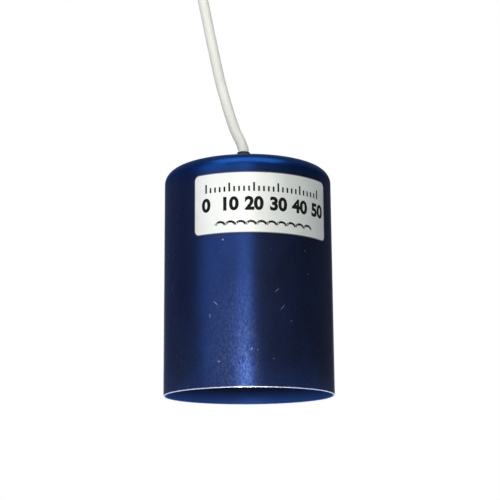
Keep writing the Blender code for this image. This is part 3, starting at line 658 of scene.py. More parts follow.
def bell_outline():
    shoulder = (BELL_RADIUS - SHOULDER_RADIUS, BELL_HEIGHT - SHOULDER_RADIUS)
    lip_out = (BELL_RADIUS - LIP_ROUND, LIP_ROUND)
    lip_in = (BELL_RADIUS - BELL_WALL + LIP_ROUND, LIP_ROUND)
    crown = [(r, BELL_HEIGHT) for r in (0.0, 0.012)]
    side = [(BELL_RADIUS, z) for z in (0.07, 0.05, 0.03, 0.012)]
    outside = arc(shoulder, SHOULDER_RADIUS, 90, 0, 20) + side + arc(lip_out, LIP_ROUND, 0, -90, 5)
    back = [(BELL_RADIUS - BELL_WALL, z) for z in (0.012, 0.03, 0.05, 0.07)]
    inside = arc(lip_in, LIP_ROUND, 270, 180, 5) + back
    inside += arc(shoulder, SHOULDER_RADIUS - BELL_WALL, 0, 90, 16)
    return crown + outside + inside + [(0.012, CROWN_UNDER), (0.0, CROWN_UNDER)]


bell = lathe("bell", bell_outline(), segments=256, closed=False, smooth_degrees=40.0)
drill = lathe("gland drill", cylinder(GLAND_HOLE_RADIUS, CROWN_UNDER - 0.002, BELL_HEIGHT + 0.002),
              axis=(GLAND_X, 0.0), segments=64, closed=False)
smooth(apply_boolean(bell, drill, "DIFFERENCE"), 40.0)
dress(bell, anodised_blue)
carry_over(bell, "bell", "bell_housing")
print("bell faces:", len(bell.data.polygons))

# %% [markdown]
# ## Helpers for geometry that repeats
#
# Ticks on a scale, screws on a circle and teeth on a strap are the same small shape many times over.
# Geometry Nodes place the copies, so one number changes them all. `repeat_tree` makes a tree with named
# inputs, and `bake` gives the modifier its numbers, turns the result into a plain mesh and clears up.

# %% Geometry Nodes helpers
def repeat_tree(name, *labels):
    """A tree with a number for each label, a shape and a finish as its inputs."""
    tree = bpy.data.node_groups.new(name, "GeometryNodeTree")
    tree.is_modifier = True
    tree.interface.new_socket("Geometry", in_out="OUTPUT", socket_type="NodeSocketGeometry")
    kinds = {"Geometry": "Geometry", **dict.fromkeys(labels, "Float"), "Count": "Int", "Finish": "Material"}
    for label, kind in kinds.items():
        tree.interface.new_socket(label, in_out="INPUT", socket_type="NodeSocket" + kind)
    return tree, add(tree, "NodeGroupInput").outputs


def vector_of(tree, **parts):
    return add(tree, "CombineXYZ", parts).outputs[0]


def row_of_points(tree, given, **origin):
    """Count points along x, Spacing apart, from an origin."""
    return add(tree, "GeometryNodeMeshLine", {
        "Count": given["Count"], "Offset": vector_of(tree, X=given["Spacing"]),
        "Start Location": vector_of(tree, **origin)}).outputs[0]


def copies_at(tree, points, shape, **change):
    inputs = {"Points": points, "Instance": shape, **change}
    return add(tree, "GeometryNodeInstanceOnPoints", inputs).outputs[0]


def finish_tree(tree, given, geometry):
    """Every tree ends with real geometry and its finish."""
    real = add(tree, "GeometryNodeRealizeInstances", {0: geometry})
    paint = add(tree, "GeometryNodeSetMaterial", {"Geometry": real.outputs[0], "Material": given["Finish"]})
    add(tree, "NodeGroupOutput", {0: paint.outputs[0]})
    return tree


def bake(obj, tree, values):
    """Run the tree on an object and keep the result as its plain mesh."""
    change = obj.modifiers.new("repeat", "NODES")
    change.node_group = tree
    for item in tree.interface.items_tree:
        if item.in_out == "INPUT" and item.name in values:
            change[item.identifier] = values[item.name]
    return apply_modifiers(obj)


print("geometry helpers are ready")

# %% [markdown]
# ## Finish: silver foil and its ink
#
# The label is thin aluminium foil with a satin lacquer, glued round the wall by hand. It has a faint
# horizontal grain from rolling, shallow creases towards its right end, and a warm yellowing. Its right
# end is painted greyer and darker as painted shade, and a thin line of painted shade runs round its cut
# edge. Foil shines like metal but scatters more, so the finish is part metal with a high roughness.

# %% Label finishes
LABEL_ARC_LENGTH, LABEL_HEIGHT, LABEL_CORNER = 0.0602, 0.0249, 0.0023
LABEL_TURN = math.radians(12.1)
LABEL_INNER, LABEL_OUTER = BELL_RADIUS + 0.00004, BELL_RADIUS + 0.00026
LABEL_TOP = BELL_HEIGHT - SHOULDER_RADIUS - 0.0034
LABEL_MIDDLE = LABEL_TOP - LABEL_HEIGHT / 2
# The darkest colour here is painted shade for the label's cut edge.
FOIL_DARK, FOIL_LIGHT, EDGE_PAINTED_SHADE = (0.85, 0.87, 0.795), (0.91, 0.925, 0.865), (0.030, 0.033, 0.045)
# These greyer, darker foil colours are painted shade for the label's right end.
FOIL_PAINTED_SHADE_DARK, FOIL_PAINTED_SHADE_LIGHT = (0.66, 0.71, 0.66), (0.76, 0.80, 0.745)
INK_BLACK, INK_WORN = (0.004, 0.004, 0.005), (0.022, 0.023, 0.027)


def label_edge_painted_shade(tree, place):
    """A mask for the painted shade line along the cut edge of the label, round its corners too."""
    inward = []
    for axis, size in (("X", LABEL_ARC_LENGTH), ("Y", LABEL_HEIGHT)):
        offset = maths(tree, "ABSOLUTE", maths(tree, "SUBTRACT", place[axis], size / 2))
        inward.append(maths(tree, "MAXIMUM", maths(tree, "SUBTRACT", offset, size / 2 - LABEL_CORNER), 0.0))
    reach = length_of(tree, add(tree, "CombineXYZ", {"X": inward[0], "Y": inward[1]}).outputs["Vector"])
    return remap(tree, reach, LABEL_CORNER - 0.00046, LABEL_CORNER - 0.00022, 0.0, 0.92)


def make_label_foil():
    material, tree, shader = new_finish("silver label foil")
    where = along_spot(tree)
    place = add(tree, "SeparateXYZ", {"Vector": where}).outputs
    grain = noise(tree, along_spot(tree, (30, 1, 1)), 90.0, 4.0, 0.6)
    cloud = noise(tree, where, 70.0, 4.0, 0.55)
    warm = blend_colours(tree, remap(tree, cloud, 0.35, 0.7), FOIL_DARK, FOIL_LIGHT)
    shaded_right_end = blend_colours(tree, remap(tree, cloud, 0.3, 0.75), FOIL_PAINTED_SHADE_DARK, FOIL_PAINTED_SHADE_LIGHT)
    # Painted shade: the right end of the label turns greyer and darker.
    colour = blend_colours(tree, remap(tree, place["X"], 0.030, 0.050), warm, shaded_right_end)
    crease = noise(tree, along_spot(tree, (1, 0.35, 1)), 110.0, 2.0, 0.4, 1.2)
    sharp = remap(tree, maths(tree, "ABSOLUTE", maths(tree, "SUBTRACT", crease, 0.5)), 0.0, 0.05, 1.0, 0.0)
    right_end = remap(tree, place["X"], 0.038, 0.055, 0.12, 1.0)
    height = maths(tree, "ADD", maths(tree, "MULTIPLY", sharp, maths(tree, "MULTIPLY", right_end, 0.55)),
                   maths(tree, "MULTIPLY", grain, 0.16))
    height = maths(tree, "ADD", height, maths(tree, "MULTIPLY", cloud, 0.9))
    # Painted shade: a thin dark line round the cut edge of the label.
    colour = blend_colours(tree, label_edge_painted_shade(tree, place), colour, EDGE_PAINTED_SHADE)
    plug(tree, shader, base_color=colour, metallic=0.28, roughness=remap(tree, cloud, 0.3, 0.7, 0.36, 0.46),
         normal=bump(tree, height, 0.20, 0.0005), coat_weight=0.10, coat_roughness=0.3)
    return material


def make_ink():
    material, tree, shader = new_finish("black label ink")
    worn = noise(tree, object_spot(tree), 900.0, 4.0, 0.6)
    colour = blend_colours(tree, remap(tree, worn, 0.5, 0.8), INK_BLACK, INK_WORN)
    plug(tree, shader, base_color=colour, roughness=remap(tree, worn, 0.3, 0.7, 0.55, 0.7),
         normal=bump(tree, worn, 0.08, 0.0001), specular_ior_level=0.12)
    return material


label_foil, label_ink = make_label_foil(), make_ink()
print("finishes:", label_foil.name, "and", label_ink.name)

# %% [markdown]
# ## The label plate
#
# The plate is built flat, as columns across its width whose height follows the rounded corners, and then
# each point is wrapped round the wall. Its place on the wall is kept as the UV map, in metres from the
# lower left corner, so grain and creases follow the foil.

# %% Build the label plate
def wrap_label(x, z, radius):
    """A point of the flat label, measured from its middle, wrapped round the bell."""
    angle = -math.pi / 2 + LABEL_TURN + x / BELL_RADIUS
    return Vector((radius * math.cos(angle), radius * math.sin(angle), LABEL_MIDDLE + z))


def make_label_plate(rows=16):
    half_width, half_height = LABEL_ARC_LENGTH / 2, LABEL_HEIGHT / 2
    quarter = arc((half_width - LABEL_CORNER, half_height - LABEL_CORNER), LABEL_CORNER, 0, 90, 8)
    inner = half_width - LABEL_CORNER
    flat = [(inner * (i / 40 - 1), half_height) for i in range(1, 80)]
    columns = [(-x, z) for x, z in quarter] + flat + [(x, z) for x, z in reversed(quarter)]
    bm = bmesh.new()
    layer = bm.loops.layers.uv.new("along")
    grid = []
    for x, top in columns:
        spots = [(x, top * (2 * k / rows - 1)) for k in range(rows + 1)]
        grid.append([[(bm.verts.new(wrap_label(px, pz, radius)), (px + half_width, pz + half_height))
                      for px, pz in spots] for radius in (LABEL_INNER, LABEL_OUTER)])

    def face(*corners):
        made = bm.faces.new([c[0] for c in corners])
        for loop, corner in zip(made.loops, corners):
            loop[layer].uv = corner[1]

    for a, b in zip(grid, grid[1:]):
        for k in range(rows):
            face(a[1][k], b[1][k], b[1][k + 1], a[1][k + 1])
            face(a[0][k + 1], b[0][k + 1], b[0][k], a[0][k])
        for k, flip in ((0, False), (rows, True)):
            ring = (a[0][k], b[0][k], b[1][k], a[1][k])
            face(*(reversed(ring) if flip else ring))
    for end in (grid[0], grid[-1]):
        for k in range(rows):
            face(end[0][k], end[1][k], end[1][k + 1], end[0][k + 1])
    bmesh.ops.recalc_face_normals(bm, faces=bm.faces)
    return mesh_object("label", bm, 40.0)


label = dress(make_label_plate(), label_foil)
carry_over(label, "label", "label_plate")
print("label faces:", len(label.data.polygons))

# %% [markdown]
# ## What the label shows
#
# The place of the print holds a plain scale: a row of ticks, a row of numbers and a row of wave marks for
# the water. Ticks and waves come from Geometry Nodes, which set small bars along a line. The numbers are
# a text object made into a mesh. All of it is built flat and wrapped on to the foil in the same way.

# %% Ink that repeats
INK_PROUD = 0.000014


def wrap_ink(obj):
    """Wrap a flat mesh, drawn in x and y with a thickness in z, on to the outside of the label."""
    for vert in obj.data.vertices:
        vert.co = wrap_label(vert.co.x, vert.co.y, LABEL_OUTER - INK_PROUD + vert.co.z)
    obj.data.update()
    carry_over(obj, "label")
    return obj


def tick_tree():
    """Bars along a line; every fifth one is long."""
    tree, given = repeat_tree("scale ticks", "Count", "Spacing", "Short", "Long", "Width", "Thickness",
                              "Start", "Base")
    fifth = maths(tree, "MODULO", add(tree, "GeometryNodeInputIndex").outputs[0], 5)
    tall = add(tree, "GeometryNodeSwitch", {
        "Switch": maths(tree, "LESS_THAN", fifth, 0.5), "False": given["Short"], "True": given["Long"]},
        input_type="FLOAT").outputs[0]
    bar = add(tree, "GeometryNodeMeshCube", {"Size": (1, 1, 1)}).outputs["Mesh"]
    raised = add(tree, "GeometryNodeTransform", {"Geometry": bar, "Translation": (0, 0.5, 0.5)}).outputs[0]
    points = row_of_points(tree, given, X=given["Start"], Y=given["Base"])
    size = vector_of(tree, X=given["Width"], Y=tall, Z=given["Thickness"])
    return finish_tree(tree, given, copies_at(tree, points, raised, Scale=size))


INK_THICKNESS, SCALE_START = 0.00003, -0.0245
ticks = bake(mesh_object("label_ticks", bmesh.new()), tick_tree(), {
    "Count": 26, "Spacing": 0.00196, "Short": 0.0021, "Long": 0.0036, "Width": 0.00072,
    "Thickness": INK_THICKNESS, "Start": SCALE_START, "Base": 0.0044, "Finish": label_ink})
wrap_ink(ticks)
print("tick faces:", len(ticks.data.polygons))

# %% Ink that is written: plain numbers
NUMBER_FOOT, NUMBER_HEIGHT, NUMBER_WEIGHT = -0.0030, 0.0053, 0.00033


def flat_text(body, x, y, height, thickness):
    """A number as a thin flat mesh, centred on x, standing on y."""
    curve = bpy.data.curves.new("number " + body, "FONT")
    curve.body, curve.align_x, curve.size = body, "CENTER", height / 0.73
    curve.extrude, curve.offset, curve.resolution_u = thickness / 2, NUMBER_WEIGHT, 6
    text = bpy.data.objects.new("number " + body, curve)
    scene.collection.objects.link(text)
    mesh = evaluated_mesh(text)
    mesh.transform(Matrix.Translation((x, y, thickness / 2)))
    bpy.data.objects.remove(text, do_unlink=True)
    return mesh


def make_numbers():
    """One mesh with the numbers 0 to 50 in steps of ten, spaced evenly."""
    bm = bmesh.new()
    first, last, count = SCALE_START, -SCALE_START, 6
    for i in range(count):
        x = first + (last - first) * i / (count - 1)
        mesh = flat_text(str(10 * i), x, NUMBER_FOOT, NUMBER_HEIGHT, INK_THICKNESS)
        bm.from_mesh(mesh)
        bpy.data.meshes.remove(mesh)
    bmesh.ops.subdivide_edges(bm, edges=[e for e in bm.edges if e.calc_length() > 0.0012], cuts=1)
    return mesh_object("label_numbers", bm)


numbers = dress(make_numbers(), label_ink)
wrap_ink(numbers)
print("number faces:", len(numbers.data.polygons))

# %% Ink that repeats: waves
def wave_tree():
    """A row of small arches, each an arc given a flat section."""
    tree, given = repeat_tree("wave marks", "Count", "Spacing", "Radius", "Line", "Thickness", "Start",
                              "Base")
    bow = add(tree, "GeometryNodeCurveArc", {
        "Resolution": 14, "Start Angle": math.radians(20), "Sweep Angle": math.radians(140),
        "Radius": given["Radius"]}).outputs["Curve"]
    section = add(tree, "GeometryNodeCurvePrimitiveQuadrilateral", {
        "Width": given["Line"], "Height": given["Thickness"]}).outputs[0]
    arch = add(tree, "GeometryNodeCurveToMesh", {
        "Curve": bow, "Profile Curve": section, "Fill Caps": True}).outputs[0]
    points = row_of_points(tree, given, X=given["Start"], Y=given["Base"])
    return finish_tree(tree, given, copies_at(tree, points, arch))


waves = bake(mesh_object("label_waves", bmesh.new()), wave_tree(), {
    "Count": 10, "Spacing": 0.0041, "Radius": 0.0021, "Line": 0.00090, "Thickness": INK_THICKNESS,
    "Start": -0.01845, "Base": -0.0099, "Finish": label_ink})
wrap_ink(waves)
print("wave faces:", len(waves.data.polygons))

# %% [markdown]
# ## Finishes for the gland and the fittings
#
# The seal and washers are dull nitrile rubber, dusty in their pores. The nut is nickel on brass, with
# turning marks round its axis. The ballast is zinc-coated steel with a cloudy surface. The can is black
# glass-filled plastic with a fine grain.

# %% Rubber, plated brass, zinc and plastic
def make_plain_finish(name, dark, light, rough, scale, grain, strength, metallic=0.0, coat=0.0,
                      stretch=(1, 1, 1)):
    """A finish with a cloudy colour, a varied roughness and a fine grain."""
    material, tree, shader = new_finish(name)
    cloud = noise(tree, object_spot(tree), scale, 5.0, 0.6)
    fine = noise(tree, object_spot(tree, stretch), grain, 4.0, 0.6)
    dust = remap(tree, noise(tree, object_spot(tree), scale * 3.1, 5.0, 0.7), 0.58, 0.76, 0.0, 0.25)
    colour = blend_colours(tree, remap(tree, cloud, 0.35, 0.65), dark, light)
    colour = blend_colours(tree, dust, colour, tuple(0.6 * c + 0.16 for c in light))
    plug(tree, shader, base_color=colour, metallic=metallic,
         roughness=remap(tree, fine, 0.3, 0.7, rough - 0.05, rough + 0.07),
         normal=bump(tree, fine, strength, 0.0001), coat_weight=coat, coat_roughness=0.2)
    return material


black_rubber = make_plain_finish("black nitrile rubber", (0.008, 0.010, 0.020), (0.014, 0.018, 0.032),
                                 0.66, 420.0, 2600.0, 0.25)
plated_brass = make_plain_finish("nickel plated brass", (0.52, 0.50, 0.46), (0.66, 0.64, 0.58),
                                 0.27, 260.0, 1500.0, 0.10, metallic=1.0, stretch=(1, 1, 9))
zinc_steel = make_plain_finish("zinc coated steel", (0.36, 0.37, 0.39), (0.56, 0.57, 0.58),
                               0.42, 150.0, 900.0, 0.16, metallic=1.0)
stainless = make_plain_finish("turned stainless steel", (0.50, 0.50, 0.50), (0.62, 0.62, 0.61),
                              0.26, 300.0, 1900.0, 0.10, metallic=1.0, stretch=(1, 1, 9))
black_plastic = make_plain_finish("glass filled plastic", (0.020, 0.020, 0.023), (0.036, 0.036, 0.040),
                                  0.46, 330.0, 1700.0, 0.16)
black_nylon = make_plain_finish("black nylon strap", (0.014, 0.014, 0.015), (0.026, 0.026, 0.028),
                                0.40, 500.0, 2100.0, 0.12)
board_green = make_plain_finish("green solder mask", (0.010, 0.090, 0.030), (0.020, 0.150, 0.055),
                                0.34, 240.0, 1400.0, 0.10, coat=0.3)
terminal_green = make_plain_finish("green terminal plastic", (0.020, 0.20, 0.060), (0.035, 0.29, 0.095),
                                   0.42, 300.0, 1600.0, 0.12)
chip_resin = make_plain_finish("moulded black resin", (0.014, 0.014, 0.015), (0.030, 0.030, 0.031),
                               0.50, 600.0, 2400.0, 0.20)
filter_bronze = make_plain_finish("sintered bronze", (0.20, 0.12, 0.055), (0.50, 0.33, 0.15),
                                  0.55, 1900.0, 3200.0, 0.80, metallic=0.9)
tinned_copper = make_plain_finish("tinned copper", (0.58, 0.57, 0.55), (0.72, 0.71, 0.68),
                                  0.30, 500.0, 1500.0, 0.12, metallic=1.0)
core_finishes = [
    make_plain_finish("brown core", (0.105, 0.040, 0.020), (0.150, 0.062, 0.032), 0.40, 400.0, 1500.0, 0.06),
    make_plain_finish("white core", (0.70, 0.70, 0.67), (0.82, 0.82, 0.79), 0.40, 400.0, 1500.0, 0.06),
    make_plain_finish("green core", (0.020, 0.210, 0.060), (0.035, 0.300, 0.085), 0.40, 400.0, 1500.0, 0.06)]
print("finishes made so far:", len(bpy.data.materials))

# %% [markdown]
# ## The gland on the crown
#
# The cable has to leave the bell without leaking. A rubber seal sits round the cable inside a hollow
# stem, and a cap nut squeezes it. Its neck stands up out of the nut as a strain relief, and that neck is
# the dark collar in the photograph. The rest hides behind the shoulder from the photographer's low place.

# %% Seal and washer
FINE_ROUND = 0.00015
NECK_TOP, SEAL_LOW, STEM_TOP = 0.1035, 0.0916, 0.0982
SEAL_BORE, SEAL_NECK, SEAL_BODY = 0.00232, 0.0029, 0.0036
WASHER_HOLE, WASHER_RADIUS, WASHER_LOW, WASHER_TOP = 0.0050, 0.0079, 0.0943, 0.0951


def turned_piece(name, outline, finish, slot, node, rounding=FINE_ROUND, segments=96, closed=True,
                 axis=(GLAND_X, 0.0)):
    shape = rounded(outline, rounding) if rounding else outline
    piece = dress(lathe(name, shape, axis=axis, segments=segments, closed=closed), finish)
    return carry_over(piece, slot, node)


turned_piece("seal", [
    (SEAL_BORE, SEAL_LOW), (SEAL_BODY, SEAL_LOW), (SEAL_BODY, STEM_TOP), (SEAL_NECK, STEM_TOP),
    (SEAL_NECK, NECK_TOP - 0.0010), (SEAL_NECK - 0.00022, NECK_TOP - 0.0007), (SEAL_NECK - 0.00010, NECK_TOP),
    (SEAL_BORE, NECK_TOP)], black_rubber, "rubber", "cable_seal", segments=72)
turned_piece("washer", [
    (WASHER_HOLE, WASHER_LOW), (WASHER_RADIUS, WASHER_LOW), (WASHER_RADIUS, WASHER_TOP),
    (WASHER_HOLE, WASHER_TOP)], black_rubber, "rubber", "crown_washer")
print("seal stands", round((NECK_TOP - BELL_HEIGHT) * 1000, 1), "mm above the crown")

# %% [markdown]
# The cap nut starts as a hexagon bar. A lathe turns its corners off at 30 degrees and bores it from
# below, and the lip that is left at the top holds the seal down. Booleans do the same two cuts here, and
# a Bevel modifier takes the sharpness off the edges that remain.

# %% Cap nut
NUT_ACROSS_FLATS, NUT_LOW, NUT_TOP, NUT_LIP = 0.013, 0.0954, 0.0993, 0.0008
STEM_RADIUS = 0.0047


def make_cap_nut():
    bm = bmesh.new()
    corner = NUT_ACROSS_FLATS / math.sqrt(3)
    place = Matrix.Translation((GLAND_X, 0, (NUT_LOW + NUT_TOP) / 2))
    bmesh.ops.create_cone(bm, cap_ends=True, segments=6, radius1=corner, radius2=corner,
                          depth=NUT_TOP - NUT_LOW, matrix=place)
    nut = mesh_object("cap_nut", bm)
    face, slope, spare = NUT_ACROSS_FLATS / 2 - 0.00013, math.tan(math.radians(30)), 0.001
    turning = lathe("nut turning", [
        (0, NUT_LOW - spare), (corner + spare, NUT_LOW - spare),
        (corner + spare, NUT_TOP - (corner - face + spare) * slope),
        (face - spare, NUT_TOP + spare * slope), (0, NUT_TOP + spare * slope)],
        axis=(GLAND_X, 0), segments=96, closed=False)
    apply_boolean(nut, turning, "INTERSECT")
    bore, lip = STEM_RADIUS + FIT, SEAL_NECK + FIT
    boring = lathe("nut boring", [
        (0, NUT_LOW - spare), (bore, NUT_LOW - spare), (bore, NUT_TOP - NUT_LIP), (lip, NUT_TOP - NUT_LIP),
        (lip, NUT_TOP + spare), (0, NUT_TOP + spare)], axis=(GLAND_X, 0), segments=72, closed=False)
    apply_boolean(nut, boring, "DIFFERENCE")
    edge = nut.modifiers.new("edge", "BEVEL")
    edge.width, edge.segments, edge.limit_method, edge.angle_limit = 0.00010, 2, "ANGLE", math.radians(25)
    smooth(apply_modifiers(nut), 28)
    return nut


cap_nut = carry_over(dress(make_cap_nut(), plated_brass), "gland_metal", "gland_nut")
print("cap nut faces:", len(cap_nut.data.polygons))

# %% [markdown]
# ## Ballast and sensor can
#
# Trapped air would float the bell, so a heavy steel ring fills the space under the crown. The sensor can
# passes through it and carries it on a ledge. A cover with a filtered port closes the can from below, and
# three screws hold it. All of this shows only when someone looks up into the bell.

# %% Ballast ring, can and cover
CAN_RADIUS, CAN_BORE, UPPER_BORE = 0.014, 0.012, 0.0104
CAN_ROOF, SPIGOT_HOLE = 0.0025, 0.0063
LEDGE_RADIUS, LEDGE_THICKNESS, COVER_THICKNESS = 0.020, 0.0025, 0.0025
BALLAST_RADIUS, BALLAST_EDGE = 0.031, 0.0008
can_box, cover_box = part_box("sensor_housing"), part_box("sensor_cover")
ballast_box, filter_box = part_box("ballast_ring"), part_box("port_filter")
CAN_LOW, CAN_TOP = can_box[0].z, can_box[1].z
COVER_LOW = cover_box[0].z
BALLAST_LOW, BALLAST_TOP = ballast_box[0].z, ballast_box[1].z
BALLAST_CHAMFER = SHOULDER_RADIUS - BELL_WALL - 0.0015
RIM_FLANGE_RADIUS, RIM_FLANGE_THICKNESS = CAN_RADIUS + 0.0038, 0.0045
LEDGE_TOP = BALLAST_LOW - FIT
COVER_FACE = CAN_LOW - FIT
COVER_UNDER = COVER_FACE - COVER_THICKNESS
BOARD_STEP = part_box("circuit_board")[1].z + FIT

turned_piece("ballast", [
    (CAN_RADIUS + FIT, BALLAST_LOW), (BALLAST_RADIUS - BALLAST_EDGE, BALLAST_LOW),
    (BALLAST_RADIUS, BALLAST_LOW + BALLAST_EDGE), (BALLAST_RADIUS, BALLAST_TOP - BALLAST_CHAMFER),
    (BALLAST_RADIUS - BALLAST_CHAMFER, BALLAST_TOP), (CAN_RADIUS + FIT, BALLAST_TOP)],
    zinc_steel, "ballast", "ballast_ring", rounding=0.0003, segments=160)
turned_piece("sensor_can", [
    (SPIGOT_HOLE, CAN_TOP - CAN_ROOF), (SPIGOT_HOLE, CAN_TOP), (CAN_RADIUS, CAN_TOP),
    (CAN_RADIUS, LEDGE_TOP), (LEDGE_RADIUS, LEDGE_TOP), (LEDGE_RADIUS, LEDGE_TOP - LEDGE_THICKNESS),
    (CAN_RADIUS, LEDGE_TOP - LEDGE_THICKNESS), (CAN_RADIUS, CAN_LOW + RIM_FLANGE_THICKNESS),
    (RIM_FLANGE_RADIUS, CAN_LOW + RIM_FLANGE_THICKNESS), (RIM_FLANGE_RADIUS, CAN_LOW),
    (CAN_BORE, CAN_LOW), (CAN_BORE, BOARD_STEP), (UPPER_BORE, BOARD_STEP), (UPPER_BORE, CAN_TOP - CAN_ROOF)],
    black_plastic, "housing", "sensor_housing", rounding=0.0004, segments=128)
print("can from", round(CAN_LOW * 1000, 1), "to", round(CAN_TOP * 1000, 1), "mm")

# %% Cover, filter and seal ring
PORT, FILTER_RADIUS, FILTER_BORE, BOSS_RADIUS = 0.0018, 0.003, 0.0033, 0.005
COVER_SPIGOT, COVER_SPIGOT_TOP, SPIGOT_WALL = CAN_BORE - FIT, cover_box[1].z, 0.0026
FILTER_SEAT = filter_box[1].z + FIT
GROOVE, GROOVE_RADIUS, GROOVE_HALF = (COVER_FACE + COVER_SPIGOT_TOP) / 2, 0.01025, 0.0008

turned_piece("cover", [
    (PORT, FILTER_SEAT), (FILTER_BORE, FILTER_SEAT), (FILTER_BORE, COVER_LOW), (BOSS_RADIUS, COVER_LOW),
    (BOSS_RADIUS, COVER_UNDER), (RIM_FLANGE_RADIUS, COVER_UNDER), (RIM_FLANGE_RADIUS, COVER_FACE),
    (COVER_SPIGOT, COVER_FACE), (COVER_SPIGOT, GROOVE - GROOVE_HALF), (GROOVE_RADIUS, GROOVE - GROOVE_HALF),
    (GROOVE_RADIUS, GROOVE + GROOVE_HALF), (COVER_SPIGOT, GROOVE + GROOVE_HALF),
    (COVER_SPIGOT, COVER_SPIGOT_TOP), (COVER_SPIGOT - SPIGOT_WALL, COVER_SPIGOT_TOP),
    (COVER_SPIGOT - SPIGOT_WALL, COVER_FACE), (PORT, COVER_FACE)], black_plastic, "housing", "sensor_cover",
    rounding=0.0003, segments=128)
turned_piece(
    "filter", cylinder(FILTER_RADIUS, filter_box[0].z, filter_box[1].z), filter_bronze, "filter_bronze",
    "port_filter", rounding=0.0002, segments=64, closed=False)
print("cover's port is", round(PORT * 2000, 1), "mm wide")

# %% [markdown]
# Three slotted screws hold the cover. One is turned and slotted, and Geometry Nodes set three copies on
# the circle of holes in the flange.

# %% Cover screws
SCREW_CIRCLE, SCREW_HEAD_RADIUS, SCREW_RADIUS = RIM_FLANGE_RADIUS - 0.0021, 0.0018, 0.001
SCREW_HEAD_TOP = COVER_UNDER - FIT
SCREW_HEAD_LOW = SCREW_HEAD_TOP - 0.0013


def make_one_screw():
    tip = CAN_LOW + 0.003
    screw = lathe("cover_screws", rounded([
        (0, SCREW_HEAD_LOW), (SCREW_HEAD_RADIUS, SCREW_HEAD_LOW), (SCREW_HEAD_RADIUS, SCREW_HEAD_TOP),
        (SCREW_RADIUS, SCREW_HEAD_TOP), (SCREW_RADIUS, tip - 0.0005), (0.0005, tip), (0, tip)], 0.0002),
        segments=48, closed=False)
    bm = bmesh.new()
    bmesh.ops.create_cube(bm, size=1.0, matrix=Matrix.Translation((0, 0, SCREW_HEAD_LOW))
                          @ Matrix.Diagonal((0.0005, 0.006, 0.0012, 1.0)))
    return apply_boolean(screw, mesh_object("screw slot", bm), "DIFFERENCE")


def circle_tree():
    tree, given = repeat_tree("copies on a circle", "Count", "Radius", "First Angle", "Centre X")
    circle = add(tree, "GeometryNodeMeshCircle", {"Vertices": given["Count"], "Radius": given["Radius"]})
    placed = add(tree, "GeometryNodeTransform", {
        "Geometry": circle.outputs[0], "Rotation": vector_of(tree, Z=given["First Angle"]),
        "Translation": vector_of(tree, X=given["Centre X"])}).outputs[0]
    return finish_tree(tree, given, copies_at(tree, placed, given["Geometry"]))


screws = bake(make_one_screw(), circle_tree(), {
    "Count": 3, "Radius": SCREW_CIRCLE, "First Angle": math.pi / 6, "Centre X": GLAND_X, "Finish": stainless})
smooth(screws, 32)
carry_over(screws, "stainless", "cover_screw_1", "cover_screw_2", "cover_screw_3")
print("screw faces:", len(screws.data.polygons))

# %% [markdown]
# ## Straps round the coil
#
# Two nylon cable ties keep the coil together. A strap is a flat band that follows a rounded rectangle
# round the bundle of turns. The turns wind in and out, so where the straps lie the bundle is a little
# narrower than the whole coil, and the straps are drawn in to it. The ratchet teeth are small bars set
# along the strap by Geometry Nodes, and the head is a small block with softened edges on the outer side.

# %% Strap and head
TIE_WIDTH, TIE_BEND, TIE_ANGLES = 0.004, 0.0021, (205.0, 325.0)
TIE_HEAD, TIE_STUB = (0.0024, 0.005, 0.006), (0.0009, TIE_WIDTH, 0.0014)
TIE_SNUG_OUTSIDE, TIE_SNUG_INSIDE = 0.0015, 0.0006
tie_half = coil_width / 2 + FIT - (TIE_SNUG_OUTSIDE + TIE_SNUG_INSIDE) / 2
tie_shift = (TIE_SNUG_OUTSIDE - TIE_SNUG_INSIDE) / 2
tie_low, tie_top = coil_low - FIT, coil_top + FIT


def rounded_rectangle(half_x, low, top, radius, steps=6):
    corners = ((half_x - radius, low + radius, 270), (half_x - radius, top - radius, 0),
               (radius - half_x, top - radius, 90), (radius - half_x, low + radius, 180))
    return [p for x, z, start in corners for p in arc((x, z), radius, start, start + 90, steps)]


def make_strap(bm):
    inner_near, inner_far, outer_near, outer_far = [
        [bm.verts.new((x, y, z)) for x, z in rounded_rectangle(
            tie_half + grow, tie_low - grow, tie_top + grow, TIE_BEND + grow)]
        for grow in (0.0, TIE_THICKNESS) for y in (-TIE_WIDTH / 2, TIE_WIDTH / 2)]
    for i in range(len(inner_near)):
        j = (i + 1) % len(inner_near)
        for a, b in ((inner_near, outer_near), (outer_near, outer_far), (outer_far, inner_far),
                     (inner_far, inner_near)):
            bm.faces.new((a[i], a[j], b[j], b[i]))


def soft_block(bm, middle, size, **softening):
    """A block in the strap's plane with its edges softened."""
    place = Matrix.Translation((middle[0], 0, middle[1])) @ Matrix.Diagonal((*size, 1.0))
    made = bmesh.ops.create_cube(bm, size=1.0, matrix=place)
    edges = list({edge for vert in made["verts"] for edge in vert.link_edges})
    bmesh.ops.bevel(bm, geom=edges, affect="EDGES", **softening)


def make_head(bm):
    """The ratchet block, and the cut stub of the strap above it."""
    middle = (tie_low + tie_top) / 2
    soft_block(bm, (tie_half + 0.0002 + TIE_HEAD[0] / 2, middle), TIE_HEAD,
               offset=0.0005, segments=3, profile=0.6)
    soft_block(bm, (tie_half + 0.0016, middle + TIE_HEAD[2] / 2 + 0.0004), TIE_STUB,
               offset=0.0002, segments=2)


def make_tie_body(name):
    bm = bmesh.new()
    make_strap(bm)
    make_head(bm)
    bmesh.ops.recalc_face_normals(bm, faces=bm.faces)
    return mesh_object(name, bm, 30.0)


